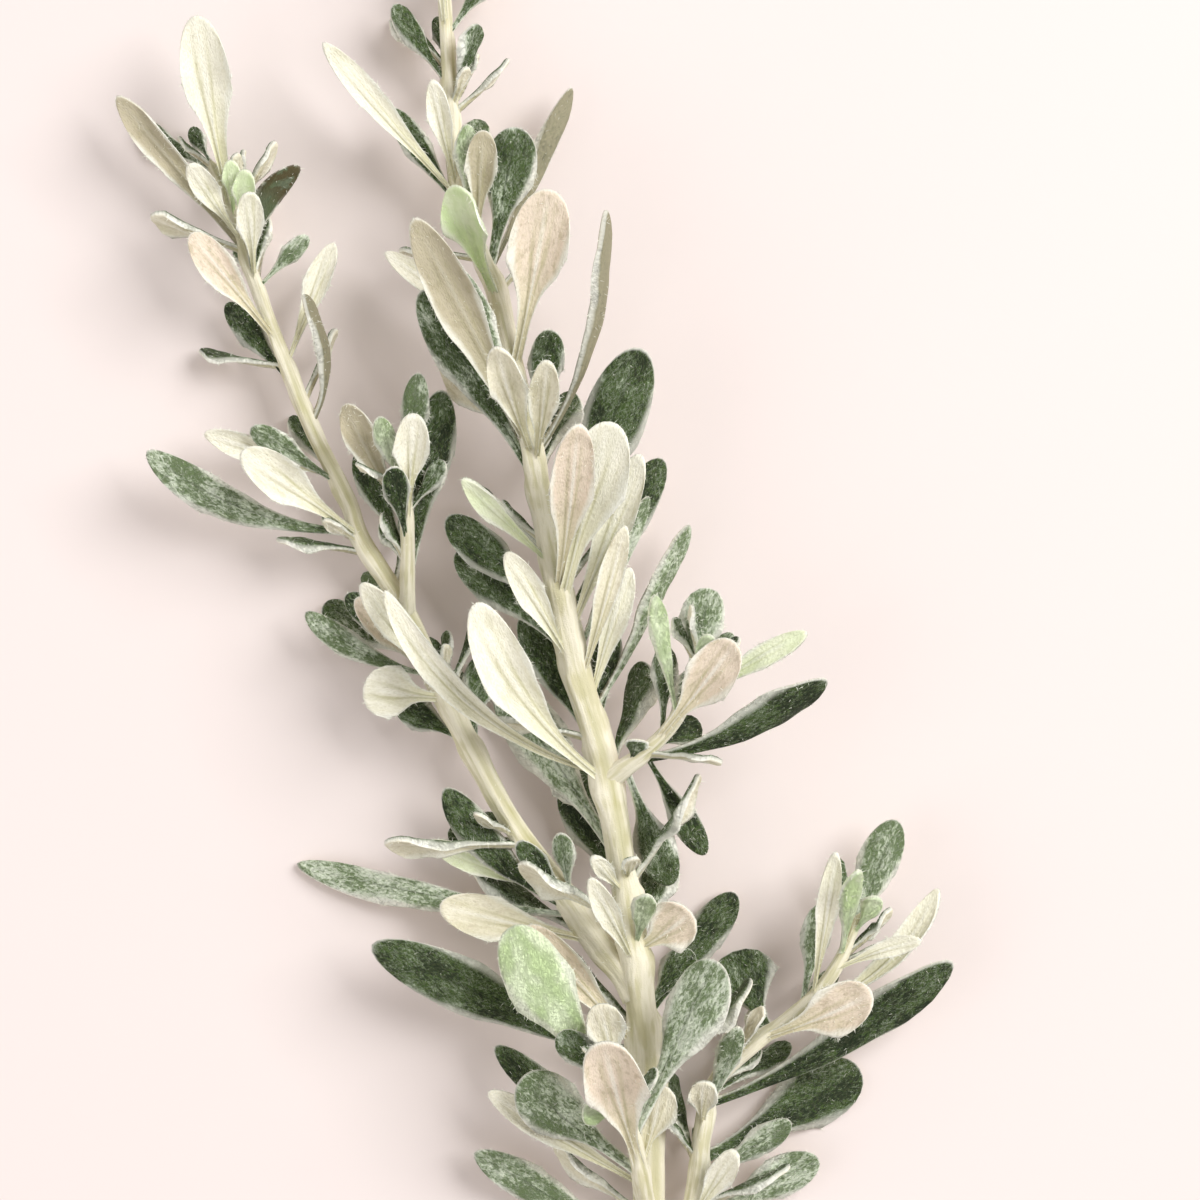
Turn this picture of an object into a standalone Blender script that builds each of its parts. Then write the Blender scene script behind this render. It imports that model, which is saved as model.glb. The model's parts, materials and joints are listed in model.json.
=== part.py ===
"""A cut sprig of wild rosemary (coastal daisybush), lying on a surface.

The main stem runs along +Y and rests on a small flat spot at the origin. Five side shoots start
against it, each with its own leaves. The plan view follows the photograph: +X is its right side.
Leaves that the photograph shows are listed by hand on each shoot. The hidden sides are filled by
a spiral rule with a seeded draw. Every leaf is bent clear of the ones placed before it.
"""
import math
import random
from dataclasses import dataclass, field
from typing import NamedTuple

import bmesh
import bpy
from mathutils import Matrix, Vector
from mathutils.bvhtree import BVHTree

MM = 0.001

# Stems: flat-sided tubes that stop short of the stem that carries them
STEM_SIDES = 8
STEM_RING_STEP = 6.0 * MM
JOINT_GAP = 0.35 * MM
FOOT_SLIDE = 5.0 * MM
FOOT_STEP = 0.1 * MM
BISECTIONS = 30

# Leaves: the shares are of a leaf's length, its width or its half width
BLADE_THICKNESS = 0.8 * MM
STALK_SHARE = 0.18
TIP_SHARE = 0.3
WIDEST_AT = 0.68
WAIST = 1.5
LARGE_LEAF = 14.0 * MM
LARGE_STATIONS = (0.0, 0.35, 0.7, 0.9, 1.0)
SMALL_STATIONS = (0.0, 0.4, 0.8, 1.0)
SPINE_STEPS = 20
MARGIN_DROP = 0.26
FREE_FROM = 0.36
FREE_STEP = 0.1
STEEPEST_LIFT = 78
SETTLE_RANGE = math.radians(70)

# How a leaf is bent when its first place is taken: steps of lift and of side, in degrees
BEND_STEPS = ((0, 0), (7, 0), (-7, 0), (14, 0), (-14, 0), (0, 7), (0, -7), (21, 0), (-21, 0),
              (10, 8), (10, -8), (-10, 8), (-10, -8), (28, 0), (-28, 0), (20, 10), (20, -10),
              (-20, 10), (-20, -10), (36, 0), (0, 15), (0, -15), (30, 15), (30, -15))
NODE_CLEARANCE = 0.45 * MM

# The spiral of leaves on the hidden sides: angles in degrees, lengths in millimetres
SPIRAL_TURN = 137.5
BARE_HALF_ANGLE = 62
SPREAD = (38, 58)
TWIST = (-25, 25)
CURL = (-12, 14)
WIDTH_SHARE = (0.25, 0.32)
TIP_SHORTENING = 0.35
TUFT_CHANCE = 0.55
TUFT_LENGTH = (5.5, 8.5)
TUFT_SIDES = (-23, 23)
TUFT_SPREAD_SHARE = 0.6
TUFT_OFFSET = 1.0
SEED = 41

UP = Vector((0.0, 0.0, 1.0))


class Leaf(NamedTuple):
    """A leaf as the photograph shows it: millimetres and degrees.

    along is its seat up the shoot, side its turn from the shoot's own direction (plus is to the
    right), lift its rise above the plan, and roll what faces the sky: 0 the green upper face,
    180 the felted underside. curl bends the blade towards its upper face, and sweep turns it to
    the right like a sickle.
    """

    along: float
    side: float
    lift: float
    length: float
    width: float
    roll: float
    curl: float
    sweep: float = 0.0


@dataclass
class Shoot:
    """A leafy shoot: its route in millimetres, foot to tip, its radii and its leaves."""

    name: str
    route: list
    foot_radius: float
    tip_radius: float
    leaves: list
    colour: tuple
    parent: str = ""
    fill_from: float = 6.0
    fill_step: float = 5.0
    fill_length: tuple = (13.0, 20.0)
    blades: list = field(default_factory=list)


MAIN_ROUTE = [
    (0, -6, 2.05), (0, 0, 2.05), (0, 7, 2.05), (0, 15, 2.6), (0, 24, 3.7), (-0.2, 36, 5.4),
    (-1.2, 48, 7.4), (-3.4, 64.8, 9.8), (-5.4, 75.6, 11), (-8.6, 86.4, 11.8), (-10.8, 96, 12.2),
    (-12.6, 105.6, 12.3), (-14.6, 116.4, 11.8), (-16.8, 126, 11), (-18.6, 133.2, 10.2),
    (-21, 139.2, 9.4), (-23.4, 146.4, 8.4), (-24.4, 160, 6.8), (-25.2, 173, 5.8),
]
LEFT_ROUTE = [
    (-1.4, 48, 7.4), (-2.9, 50.6, 7.2), (-6, 54.6, 6.9), (-10.8, 61.2, 6.6), (-16.6, 68.9, 6.4),
    (-21.6, 78, 6.4), (-26, 87.2, 6.5), (-29.6, 95, 6.7), (-34.9, 103.7, 7), (-36.5, 108.2, 7),
    (-40.7, 116.3, 6.9), (-44, 124.6, 6.6), (-47.5, 133.4, 6.2), (-51.4, 145.1, 5.6),
    (-53.4, 149.5, 5.6),
]
LEFT_SIDE_ROUTE = [(-29.4, 94.4, 6.7), (-29.2, 98, 9), (-29.1, 103, 10.6), (-29.5, 110.4, 11.6)]
RIGHT_ROUTE = [(-5.2, 74.4, 10.9), (-3.2, 76, 12), (-0.6, 77.8, 13), (2.4, 80.8, 14),
               (4.4, 84.6, 14.8), (6, 88.8, 15.4)]
LOWER_RIGHT_ROUTE = [(0, 9, 2.1), (2.2, 13, 3.2), (4.4, 19.2, 4.2), (5.8, 25.2, 4.8),
                     (6.4, 31.2, 5.2), (7.8, 37, 5.8), (12.6, 42, 6.8), (18.6, 46.7, 7.8),
                     (22.8, 52.2, 8.6), (25.4, 58.2, 9.2)]
FRONT_ROUTE = [(0, 20.5, 3.3), (-0.4, 23, 6.4), (-1.2, 27.6, 10.2), (-2.6, 34, 14),
               (-4, 40.8, 17)]

MAIN_LEAVES = [
    # low on the stem, under the photograph's edge
    Leaf(11, -50, 10, 10, 4.3, 0, 0), Leaf(16, 60, 20, 10, 4.1, 180, 0),
    Leaf(17, -56, 6, 13, 5.3, 0, 0), Leaf(22, -59, 6, 25, 4.6, 0, 0),
    # the lower cluster
    Leaf(45, -61, 10, 37, 6.8, 0, -6), Leaf(46, 53, -12, 9, 3.6, 170, 0),
    Leaf(47, -37, 12, 22, 4.4, 180, 0), Leaf(51, 42, -16, 20, 4.8, 0, 0),
    Leaf(52, 43, -6, 10, 4.1, 0, 0), Leaf(58, -19, 42, 16, 3, 180, 10),
    Leaf(60, 60, 34, 10, 6.4, 180, 6), Leaf(60, 19, 46, 11, 3, 10, 0),
    Leaf(66, -22, -20, 17, 4.8, 0, 0), Leaf(67, -32, 36, 9, 2.2, 180, 0),
    # the middle, left of the stem
    Leaf(71, -26, -16, 27, 7.2, 0, 6), Leaf(82, -61, 12, 36, 3.2, 170, 8, 50),
    Leaf(84, -14, 2, 20, 4.8, 0, 8), Leaf(81, -42, 24, 29, 6.2, 180, 8, 40),
    Leaf(95, -16, 18, 17, 3.6, 180, 8), Leaf(97, -35, -10, 19, 5.2, 0, 0),
    Leaf(101, -36, -10, 19, 5, 0, 0), Leaf(108, -36, 22, 16, 2.6, 150, 0),
    # the middle, right of the stem
    Leaf(89, 50, -8, 27, 2.7, 50, -14), Leaf(90, 34, 8, 18, 3.4, 180, 0),
    Leaf(93, 31, 10, 21, 3, 180, 0), Leaf(86, 22, -10, 15, 4.2, 0, 0),
    Leaf(96, 38, -10, 22, 3.1, 20, 0), Leaf(99, 34, 10, 24, 4.6, 180, 0),
    Leaf(101, 43, -16, 24, 5.3, 0, 0), Leaf(103, 27, 30, 25, 7.6, 180, 8),
    Leaf(105, 19, 44, 26, 5.5, 190, 4), Leaf(106, 31, 8, 30, 7.6, 0, 6),
    # the upper cluster
    Leaf(118, -21, 2, 27, 6.2, 0, 8), Leaf(120, 18, 40, 16, 3.8, 180, 0),
    Leaf(121, -8, 42, 18, 4.4, 170, 0), Leaf(121, -16, 16, 33, 5.6, 180, -6),
    Leaf(123, 22, 8, 14, 4.4, 0, 0), Leaf(124, -14, 2, 23, 4.8, 0, 0),
    Leaf(121, 47, 14, 32, 2.6, 60, 0, -42), Leaf(132, 25, 26, 23, 7.2, 180, 8),
    Leaf(136, -42, -2, 18, 2.8, 180, 0), Leaf(141, -7, 36, 16, 6, 150, 10),
    Leaf(144, 33, 4, 18, 6.4, 0, 8), Leaf(144, 47, -8, 26, 3, 20, -12),
    Leaf(148, 25, 10, 14, 3.9, 180, 0), Leaf(151, 23, 24, 12, 2.9, 20, 0),
    Leaf(152, -14, -8, 16, 3.5, 0, 0),
    # the tip
    Leaf(154, -27, 6, 25, 3.2, 180, -14), Leaf(155, 0, 18, 14, 2.9, 170, 0),
    Leaf(165, 25, 12, 11, 3.4, 60, -10), Leaf(168, -31, 0, 12, 3.1, 20, 0),
    Leaf(174, 37, -6, 12, 3.6, 0, 0), Leaf(175, -1, 20, 12, 4.1, 180, 0),
]
LEFT_LEAVES = [
    Leaf(8, -40, 4, 20, 5.4, 180, 0),
    Leaf(12, -50, -6, 36, 3.8, 20, -8, 14), Leaf(12, -27, 4, 23, 4.6, 0, 0, 34),
    Leaf(13, -4, 10, 12, 3, 0, 0), Leaf(14, 18, 10, 10, 2.8, 0, 0),
    Leaf(15, -33, 2, 18, 3.4, 170, 0), Leaf(23, -47, -14, 10, 3.6, 0, 0),
    Leaf(37, 31, -8, 11, 4.8, 0, 0), Leaf(37, -34, -6, 10, 4, 0, 0),
    Leaf(41, 3, -4, 11, 3.6, 0, 0), Leaf(43, -57, 28, 11, 6.4, 180, 10),
    Leaf(44, -11, 26, 18, 3.6, 180, 0), Leaf(45, -9, 36, 15, 3.6, 180, 0),
    Leaf(46, -56, 6, 18, 3.4, 0, -8, 36), Leaf(47, -25, -4, 14, 3.8, 0, 0),
    Leaf(50, -17, 2, 13, 3.4, 0, 0), Leaf(65, -25, 24, 19, 5.2, 180, 0),
    Leaf(66, -66, 8, 28, 4.6, 0, -6, 44), Leaf(72, -30, 10, 13, 3.4, 0, 0),
    Leaf(73, -43, 0, 17, 3.2, 170, 0), Leaf(80, 52, 10, 17, 2.8, 60, 0, -66),
    Leaf(85, -19, -6, 14, 3.6, 0, 0), Leaf(88, 42, -4, 16, 3.2, 170, 0),
    Leaf(91, -16, 16, 17, 4.2, 180, 0), Leaf(98, 64, 6, 9, 2.5, 20, 0),
    Leaf(98, 4, 14, 17, 3.2, 20, -6, 78), Leaf(99, 18, 24, 12, 3.4, 180, 0),
    Leaf(103, -20, 4, 24, 3.6, 160, -10), Leaf(104, -15, 26, 12, 3.1, 180, 0),
    Leaf(105, 28, 34, 9, 2.9, 180, 0), Leaf(107, 18, 40, 8, 2.4, 180, 0),
    Leaf(108, 9, 14, 24, 6, 180, 0),
]
LEFT_SIDE_LEAVES = [
    Leaf(4, 8, 2, 24, 5.2, 0, 6), Leaf(7, -26, -8, 15, 4, 0, 0), Leaf(9, -10, -6, 11, 3.4, 0, 0),
    Leaf(12, 8, 24, 14, 4.3, 180, 0), Leaf(12, -24, 4, 16, 4.2, 170, -6),
    Leaf(15, -14, 12, 11, 2.8, 10, 0), Leaf(15, 10, 0, 15, 3.4, 0, 0),
]
RIGHT_LEAVES = [
    Leaf(3, 112, -22, 17, 5, 0, 0), Leaf(4, -41, 28, 5, 2.9, 0, 0),
    Leaf(4, 24, 8, 26, 4.8, 24, 6, -34), Leaf(6, 99, -24, 16, 3.6, 0, 0),
    Leaf(7, 17, -12, 7, 4, 0, 0), Leaf(8, -9, 30, 17, 5.8, 180, 6),
    Leaf(9, -41, -10, 11, 3.4, 0, 0), Leaf(12, -39, 22, 16, 2.4, 20, 0),
    Leaf(14, 37, 6, 17, 2.8, 160, -8), Leaf(15, -12, -4, 13, 5.5, 0, 6),
    Leaf(16, -1, 34, 8, 2.4, 0, 0),
]
LOWER_RIGHT_LEAVES = [
    Leaf(5, 49, 4, 11, 4.8, 180, 0), Leaf(12, 48, -2, 18, 5.2, 0, 0),
    Leaf(12, 15, 14, 13, 3.4, 180, 0), Leaf(17, 45, -4, 14, 3.4, 0, 0),
    Leaf(20, 57, -14, 23, 8, 0, 0), Leaf(24, -8, 8, 8, 3.6, 170, 0),
    Leaf(25, 11, 10, 14, 3.2, 0, 0), Leaf(27, 59, 2, 35, 5.6, 20, 6, -26),
    Leaf(38, 12, 30, 16, 6, 180, 8), Leaf(39, -77, -16, 11, 8.4, 0, 0),
    Leaf(44, -35, -6, 13, 3.8, 0, 0), Leaf(44, 28, 0, 23, 3.2, 150, 0, -55),
    Leaf(46, -34, 24, 20, 2.8, 180, 0), Leaf(50, 26, 20, 12, 2.4, 170, 0, 20),
    Leaf(51, -8, -2, 19, 5, 0, 6), Leaf(52, -20, 34, 15, 3, 30, 0),
    Leaf(55, 18, 20, 7, 2.6, 10, 0, -20),
]
FRONT_LEAVES = [
    Leaf(7, -49, 2, 22, 3.6, 180, 0), Leaf(8, -38, -4, 24, 4.1, 0, 0),
    Leaf(9, -41, 6, 19, 7.2, 10, 8), Leaf(10, 25, 20, 11, 5.3, 180, 0),
    Leaf(10, -4, 34, 22, 7.6, 180, 6), Leaf(15, 38, 8, 24, 7.2, -16, 6),
    Leaf(18, -21, 2, 27, 8.2, 10, 10), Leaf(19, -81, 50, 6, 3.4, 0, 0),
    Leaf(22, -38, -6, 10, 4.1, 0, 0), Leaf(23, -3, 14, 10, 4.8, 180, 0),
]

SHOOTS = [
    Shoot("main_shoot", MAIN_ROUTE, 2.3, 0.8, MAIN_LEAVES, (0.55, 0.56, 0.40),
          fill_from=22, fill_step=4.6),
    Shoot("left_branch", LEFT_ROUTE, 1.6, 0.7, LEFT_LEAVES, (0.42, 0.47, 0.33), "main_shoot",
          fill_from=8, fill_step=5.0),
    Shoot("left_side_shoot", LEFT_SIDE_ROUTE, 0.95, 0.6, LEFT_SIDE_LEAVES, (0.36, 0.42, 0.29),
          "left_branch", fill_from=6, fill_step=3.4, fill_length=(8, 12)),
    Shoot("right_shoot", RIGHT_ROUTE, 1.05, 0.6, RIGHT_LEAVES, (0.50, 0.46, 0.34), "main_shoot",
          fill_from=6, fill_step=3.2, fill_length=(8, 12)),
    Shoot("lower_right_shoot", LOWER_RIGHT_ROUTE, 1.4, 0.7, LOWER_RIGHT_LEAVES,
          (0.30, 0.37, 0.22), "main_shoot", fill_from=10, fill_step=4.6, fill_length=(10, 16)),
    Shoot("front_shoot", FRONT_ROUTE, 1.2, 0.7, FRONT_LEAVES, (0.60, 0.55, 0.44), "main_shoot",
          fill_from=12, fill_step=3.4, fill_length=(8, 12)),
]


class Route:
    """A smooth centreline through a shoot's points, measured along its length."""

    SAMPLES = 12

    def __init__(self, shoot: Shoot):
        points = [Vector(p) * MM for p in shoot.route]
        ends = [2 * points[0] - points[1], *points, 2 * points[-1] - points[-2]]
        self.points = [self._spline(ends[i:i + 4], k / self.SAMPLES)
                       for i in range(len(points) - 1) for k in range(self.SAMPLES)]
        self.points.append(points[-1])
        self.runs = [0.0]
        for before, after in zip(self.points, self.points[1:]):
            self.runs.append(self.runs[-1] + (after - before).length)
        self.length = self.runs[-1]
        self.foot_radius = shoot.foot_radius * MM
        self.tip_radius = shoot.tip_radius * MM

    @staticmethod
    def _spline(four: list, t: float) -> Vector:
        """A Catmull-Rom curve between the middle two of four points."""
        a, b, c, d = four
        return 0.5 * (2 * b + (c - a) * t + (2 * a - 5 * b + 4 * c - d) * t ** 2
                      + (3 * b - a - 3 * c + d) * t ** 3)

    def at(self, run: float) -> tuple:
        """The point, the direction and the radius at a length along the route."""
        run = min(max(run, 0.0), self.length)
        i = next(k for k in range(1, len(self.runs)) if self.runs[k] >= run)
        share = (run - self.runs[i - 1]) / (self.runs[i] - self.runs[i - 1])
        point = self.points[i - 1].lerp(self.points[i], share)
        before = self.points[max(i - 2, 0)]
        after = self.points[min(i + 1, len(self.points) - 1)]
        grown = run / self.length
        radius = self.foot_radius + (self.tip_radius - self.foot_radius) * grown
        return point, (after - before).normalized(), radius

    def reach(self, place: Vector) -> float:
        """How far a place is outside the stem's round surface."""
        best = math.inf
        for i in range(len(self.points) - 1):
            start, end = self.points[i], self.points[i + 1]
            line = end - start
            share = min(max((place - start).dot(line) / line.length_squared, 0.0), 1.0)
            gap = (place - (start + line * share)).length
            run = self.runs[i] + share * line.length
            radius = self.foot_radius + (self.tip_radius - self.foot_radius) * run / self.length
            best = min(best, gap - radius)
        return best


class Stem:
    """The closed tube of a shoot, flattened where it rests and cupped where it meets its parent."""

    def __init__(self, route: Route, parent: Route = None):
        self.vertices = []
        self.triangles = []
        start = self._first_run(route, parent)
        count = max(3, round((route.length - start) / STEM_RING_STEP))
        for i in range(count + 1):
            point, ahead, radius = route.at(start + (route.length - start) * i / count)
            ring = self._ring(point, ahead, radius)
            if i == 0 and parent:
                ring = [self._seat(v, ahead, parent) for v in ring]
            self.vertices += ring
        ends = (route.at(start)[0], route.points[-1])
        self._close(count + 1, ends)

    def _first_run(self, route: Route, parent: Route) -> float:
        """Where the tube starts, just outside the stem that carries it."""
        run = 0.0
        while parent and parent.reach(route.at(run)[0]) < JOINT_GAP:
            run += FOOT_STEP
        return run

    def _ring(self, point: Vector, ahead: Vector, radius: float) -> list:
        """One ring with a flat side down, pressed level where it would pass the surface."""
        side = ahead.cross(UP).normalized()
        top = side.cross(ahead)
        ring = []
        for k in range(STEM_SIDES):
            angle = 2 * math.pi * (k + 0.5) / STEM_SIDES
            v = point + side * math.sin(angle) * radius + top * math.cos(angle) * radius
            v.z = max(v.z, 0.0)
            ring.append(v)
        return ring

    def _seat(self, v: Vector, ahead: Vector, parent: Route) -> Vector:
        """Slide a foot corner up the shoot until it stands one gap off its parent."""
        if parent.reach(v) >= JOINT_GAP:
            return v
        low, high = 0.0, FOOT_SLIDE
        for _ in range(BISECTIONS):
            middle = (low + high) / 2
            if parent.reach(v + ahead * middle) < JOINT_GAP:
                low = middle
            else:
                high = middle
        return v + ahead * high

    def _close(self, rings: int, ends: tuple) -> None:
        """Join the rings into a closed skin, with a fan of faces round the middle of each end."""
        n = STEM_SIDES
        for i in range(rings - 1):
            for k in range(n):
                a, b = i * n + k, i * n + (k + 1) % n
                self.triangles += [(a, b, b + n), (a, b + n, a + n)]
        for first, flip, middle in ((0, True, ends[0]), ((rings - 1) * n, False, ends[1])):
            hub = len(self.vertices)
            self.vertices.append(middle)
            for k in range(n):
                a, b = first + k, first + (k + 1) % n
                self.triangles.append((b, a, hub) if flip else (a, b, hub))


class Blade:
    """One leaf: a thin arched blade, narrow at its stalk and widest near its rounded tip."""

    def __init__(self, seat: Vector, heading: float, lift: float, roll: float, length: float,
                 width: float, curl: float, sweep: float):
        self.seat = seat
        self.heading = heading
        self.lift = lift
        self.roll = roll
        self.length = length
        self.width = width
        self.curl = curl
        self.sweep = sweep

    def frames(self, stations: tuple) -> list:
        """The midline point, side and upper normal at each share of the length."""
        flat = Vector((math.sin(self.heading), math.cos(self.heading), 0.0))
        ahead = flat * math.cos(self.lift) + UP * math.sin(self.lift)
        side = ahead.cross(UP).normalized()
        side.rotate(Matrix.Rotation(self.roll, 3, ahead))
        frames = []
        point = self.seat.copy()
        sweep = Matrix.Rotation(-self.sweep / SPINE_STEPS, 3, UP)
        done = 0
        for share in stations:
            steps = round(share * SPINE_STEPS)
            for _ in range(steps - done):
                point = point + ahead * self.length / SPINE_STEPS
                ahead = sweep @ Matrix.Rotation(self.curl / SPINE_STEPS, 3, side) @ ahead
                side = sweep @ side
            done = steps
            frames.append((point.copy(), side, side.cross(ahead)))
        return frames

    def half_width(self, share: float) -> float:
        """Half the width at a share of the length: a narrow stalk, then a rounded spoon."""
        if share < WIDEST_AT:
            grown = (share / WIDEST_AT) ** WAIST
            grown = grown * grown * (3 - 2 * grown)
            return self.width / 2 * (STALK_SHARE + (1 - STALK_SHARE) * grown)
        beyond = (share - WIDEST_AT) / (1 - WIDEST_AT)
        return self.width / 2 * max(math.sqrt(max(1 - beyond * beyond, 0.0)), TIP_SHARE)

    def shape(self, swell: float = 0.0, free: bool = False) -> tuple:
        """The blade's corners and triangles, split alike on both faces.

        swell thickens it on all sides, and free leaves out the stalk, for the tests below.
        """
        large = self.length >= LARGE_LEAF
        stations = LARGE_STATIONS if large else SMALL_STATIONS
        if free:
            stations = (FREE_FROM, *[s for s in stations if s > FREE_FROM + FREE_STEP])
        across = (-1, 0, 1) if large else (-1, 1)
        half = BLADE_THICKNESS / 2 + swell
        vertices = []
        for share, (point, side, normal) in zip(stations, self.frames(stations)):
            reach = self.half_width(share) + swell
            for face in (1, -1):
                for place in across:
                    drop = abs(place) * reach * MARGIN_DROP if large else 0.0
                    vertices.append(point + side * reach * place + normal * (face * half - drop))
        return vertices, self._skin(len(stations), len(across))

    @staticmethod
    def _skin(stations: int, width: int) -> list:
        """Triangles of a closed blade whose rows hold the upper and then the lower corners."""
        row = 2 * width
        triangles = []
        for i in range(stations - 1):
            a, b = i * row, (i + 1) * row
            for k in range(width - 1):
                triangles += [(a + k, a + k + 1, b + k + 1), (a + k, b + k + 1, b + k)]
                c, d = a + width + k, b + width + k
                triangles += [(c, d + 1, c + 1), (c, d, d + 1)]
            right, under = width - 1, row - 1
            triangles += [(a + right, a + under, b + under), (a + right, b + under, b + right)]
            triangles += [(a, b, b + width), (a, b + width, a + width)]
        for first, flip in ((0, False), ((stations - 1) * row, True)):
            for k in range(width - 1):
                top, low = first + k, first + width + k
                end = [(top, low, low + 1), (top, low + 1, top + 1)]
                triangles += [(c, b, a) if flip else (a, b, c) for a, b, c in end]
        return triangles

    def settle(self) -> None:
        """Raise the blade about its seat until its lowest corner lies on the surface."""
        if self.lowest() >= 0:
            return
        low, high = self.lift, self.lift + SETTLE_RANGE
        for _ in range(BISECTIONS):
            self.lift = (low + high) / 2
            if self.lowest() < 0:
                low = self.lift
            else:
                high = self.lift
        self.lift = high

    def lowest(self) -> float:
        """The height of the blade's lowest corner."""
        return min(v.z for v in self.shape()[0])


class Crowd:
    """What already stands, so that a new leaf can be bent clear of it."""

    def __init__(self):
        self.pieces = []

    def add(self, node: str, whole: tuple, free: tuple) -> None:
        """Remember a piece of a node by its whole skin and by the part that stands free."""
        self.pieces.append((node, *self._tree(whole), *self._tree(free)))

    @staticmethod
    def _tree(shape: tuple) -> tuple:
        """The search tree of a shape and its box."""
        vertices, triangles = shape
        low = Vector(map(min, zip(*vertices)))
        high = Vector(map(max, zip(*vertices)))
        return BVHTree.FromPolygons(vertices, triangles), low, high

    def is_clear(self, node: str, blade: Blade) -> bool:
        """Whether a blade stands clear of other nodes all along, and of its own past the stalk."""
        wide = self._tree(blade.shape(NODE_CLEARANCE))
        free = self._tree(blade.shape(0.0, True))
        for owner, tree, low, high, free_tree, free_low, free_high in self.pieces:
            if owner == node:
                mine, its, its_low, its_high = free, free_tree, free_low, free_high
            else:
                mine, its, its_low, its_high = wide, tree, low, high
            apart = any(mine[1][i] > its_high[i] or mine[2][i] < its_low[i] for i in range(3))
            if not apart and mine[0].overlap(its):
                return False
        return True


def place(shoot: Shoot, route: Route, crowd: Crowd, leaf: Leaf) -> None:
    """Seat a leaf on its shoot in the first pose that stands clear, or leave it out."""
    seat, axis, _ = route.at(leaf.along * MM)
    for lift_step, side_step in BEND_STEPS:
        heading = math.atan2(axis.x, axis.y) + math.radians(leaf.side + side_step)
        lift = math.radians(min(leaf.lift + lift_step, STEEPEST_LIFT))
        blade = Blade(seat, heading, lift, math.radians(leaf.roll), leaf.length * MM,
                      leaf.width * MM, math.radians(leaf.curl), math.radians(leaf.sweep))
        blade.settle()
        if crowd.is_clear(shoot.name, blade):
            shoot.blades.append(blade)
            crowd.add(shoot.name, blade.shape(), blade.shape(0.0, True))
            return


def spiral_leaf(axis: Vector, along: float, around: float, spread: float, length: float,
                draw: random.Random) -> Leaf:
    """A leaf of the spiral, around the stem from its top, with its upper face to the stem."""
    side = axis.cross(UP).normalized()
    top = side.cross(axis)
    out = side * math.sin(around) + top * math.cos(around)
    ahead = axis * math.cos(spread) + out * math.sin(spread)
    level = ahead.cross(UP).normalized()
    upper = level.cross(ahead)
    inward = axis - ahead * axis.dot(ahead)
    roll = math.atan2(inward.dot(level), inward.dot(upper))
    turn = math.atan2(ahead.x, ahead.y) - math.atan2(axis.x, axis.y)
    return Leaf(along, math.degrees(turn), math.degrees(math.asin(ahead.z)), length,
                length * draw.uniform(*WIDTH_SHARE), math.degrees(roll) + draw.uniform(*TWIST),
                draw.uniform(*CURL))


def fill(shoot: Shoot, route: Route, crowd: Crowd, draw: random.Random) -> None:
    """Place the spiral of leaves, with tufts at some of their roots, on the hidden sides."""
    along = shoot.fill_from
    turn = draw.uniform(0, 360)
    whole = route.length / MM
    while along < whole:
        _, axis, _ = route.at(along * MM)
        length = draw.uniform(*shoot.fill_length) * (1 - TIP_SHORTENING * along / whole)
        spread = math.radians(draw.uniform(*SPREAD))
        around = (turn + 180) % 360 - 180
        if abs(around) > BARE_HALF_ANGLE:
            leaf = spiral_leaf(axis, along, math.radians(around), spread, length, draw)
            place(shoot, route, crowd, leaf)
            if draw.random() < TUFT_CHANCE:
                for step in TUFT_SIDES:
                    leaf = spiral_leaf(axis, along + TUFT_OFFSET, math.radians(around + step),
                                       spread * TUFT_SPREAD_SHARE, draw.uniform(*TUFT_LENGTH), draw)
                    place(shoot, route, crowd, leaf)
        turn += SPIRAL_TURN
        along += shoot.fill_step


def grow(shoots: list) -> dict:
    """Stand the stems, then the leaves that show, the largest first, then the hidden ones."""
    routes = {shoot.name: Route(shoot) for shoot in shoots}
    crowd = Crowd()
    stems = {}
    for shoot in shoots:
        parent = routes.get(shoot.parent)
        stems[shoot.name] = Stem(routes[shoot.name], parent)
        skin = (stems[shoot.name].vertices, stems[shoot.name].triangles)
        crowd.add(shoot.name, skin, skin)
    seen = [(shoot, leaf) for shoot in shoots for leaf in shoot.leaves]
    for shoot, leaf in sorted(seen, key=lambda pair: -pair[1].length * pair[1].width):
        place(shoot, routes[shoot.name], crowd, leaf)
    draw = random.Random(SEED)
    for shoot in shoots:
        fill(shoot, routes[shoot.name], crowd, draw)
    return stems


def new_object(name: str, vertices: list, triangles: list, collection) -> bpy.types.Object:
    """A mesh object from corners and triangles."""
    mesh = bpy.data.meshes.new(name)
    mesh.from_pydata(vertices, [], triangles)
    obj = bpy.data.objects.new(name, mesh)
    collection.objects.link(obj)
    return obj


def keep_outer_body(mesh: bpy.types.Mesh) -> None:
    """Keep the largest closed skin: a sealed hollow is filled and a loose scrap is dropped."""
    bm = bmesh.new()
    bm.from_mesh(mesh)
    left = set(bm.faces)
    bodies = []
    while left:
        body = set()
        reached = [left.pop()]
        while reached:
            face = reached.pop()
            body.add(face)
            for edge in face.edges:
                for other in edge.link_faces:
                    if other in left:
                        left.discard(other)
                        reached.append(other)
        bodies.append(body)
    bodies.sort(key=len)
    for body in bodies[:-1]:
        bmesh.ops.delete(bm, geom=list(body), context="FACES")
    bmesh.ops.delete(bm, geom=[v for v in bm.verts if not v.link_faces], context="VERTS")
    bm.to_mesh(mesh)
    bm.free()


def leaf_material(name: str, colour: tuple) -> bpy.types.Material:
    """A matt felted finish in the shoot's overall colour."""
    material = bpy.data.materials.new(name + "_felt")
    material.use_nodes = True
    shader = material.node_tree.nodes["Principled BSDF"]
    shader.inputs["Base Color"].default_value = (*colour, 1.0)
    shader.inputs["Roughness"].default_value = 0.85
    shader.inputs["Metallic"].default_value = 0.0
    return material


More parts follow.
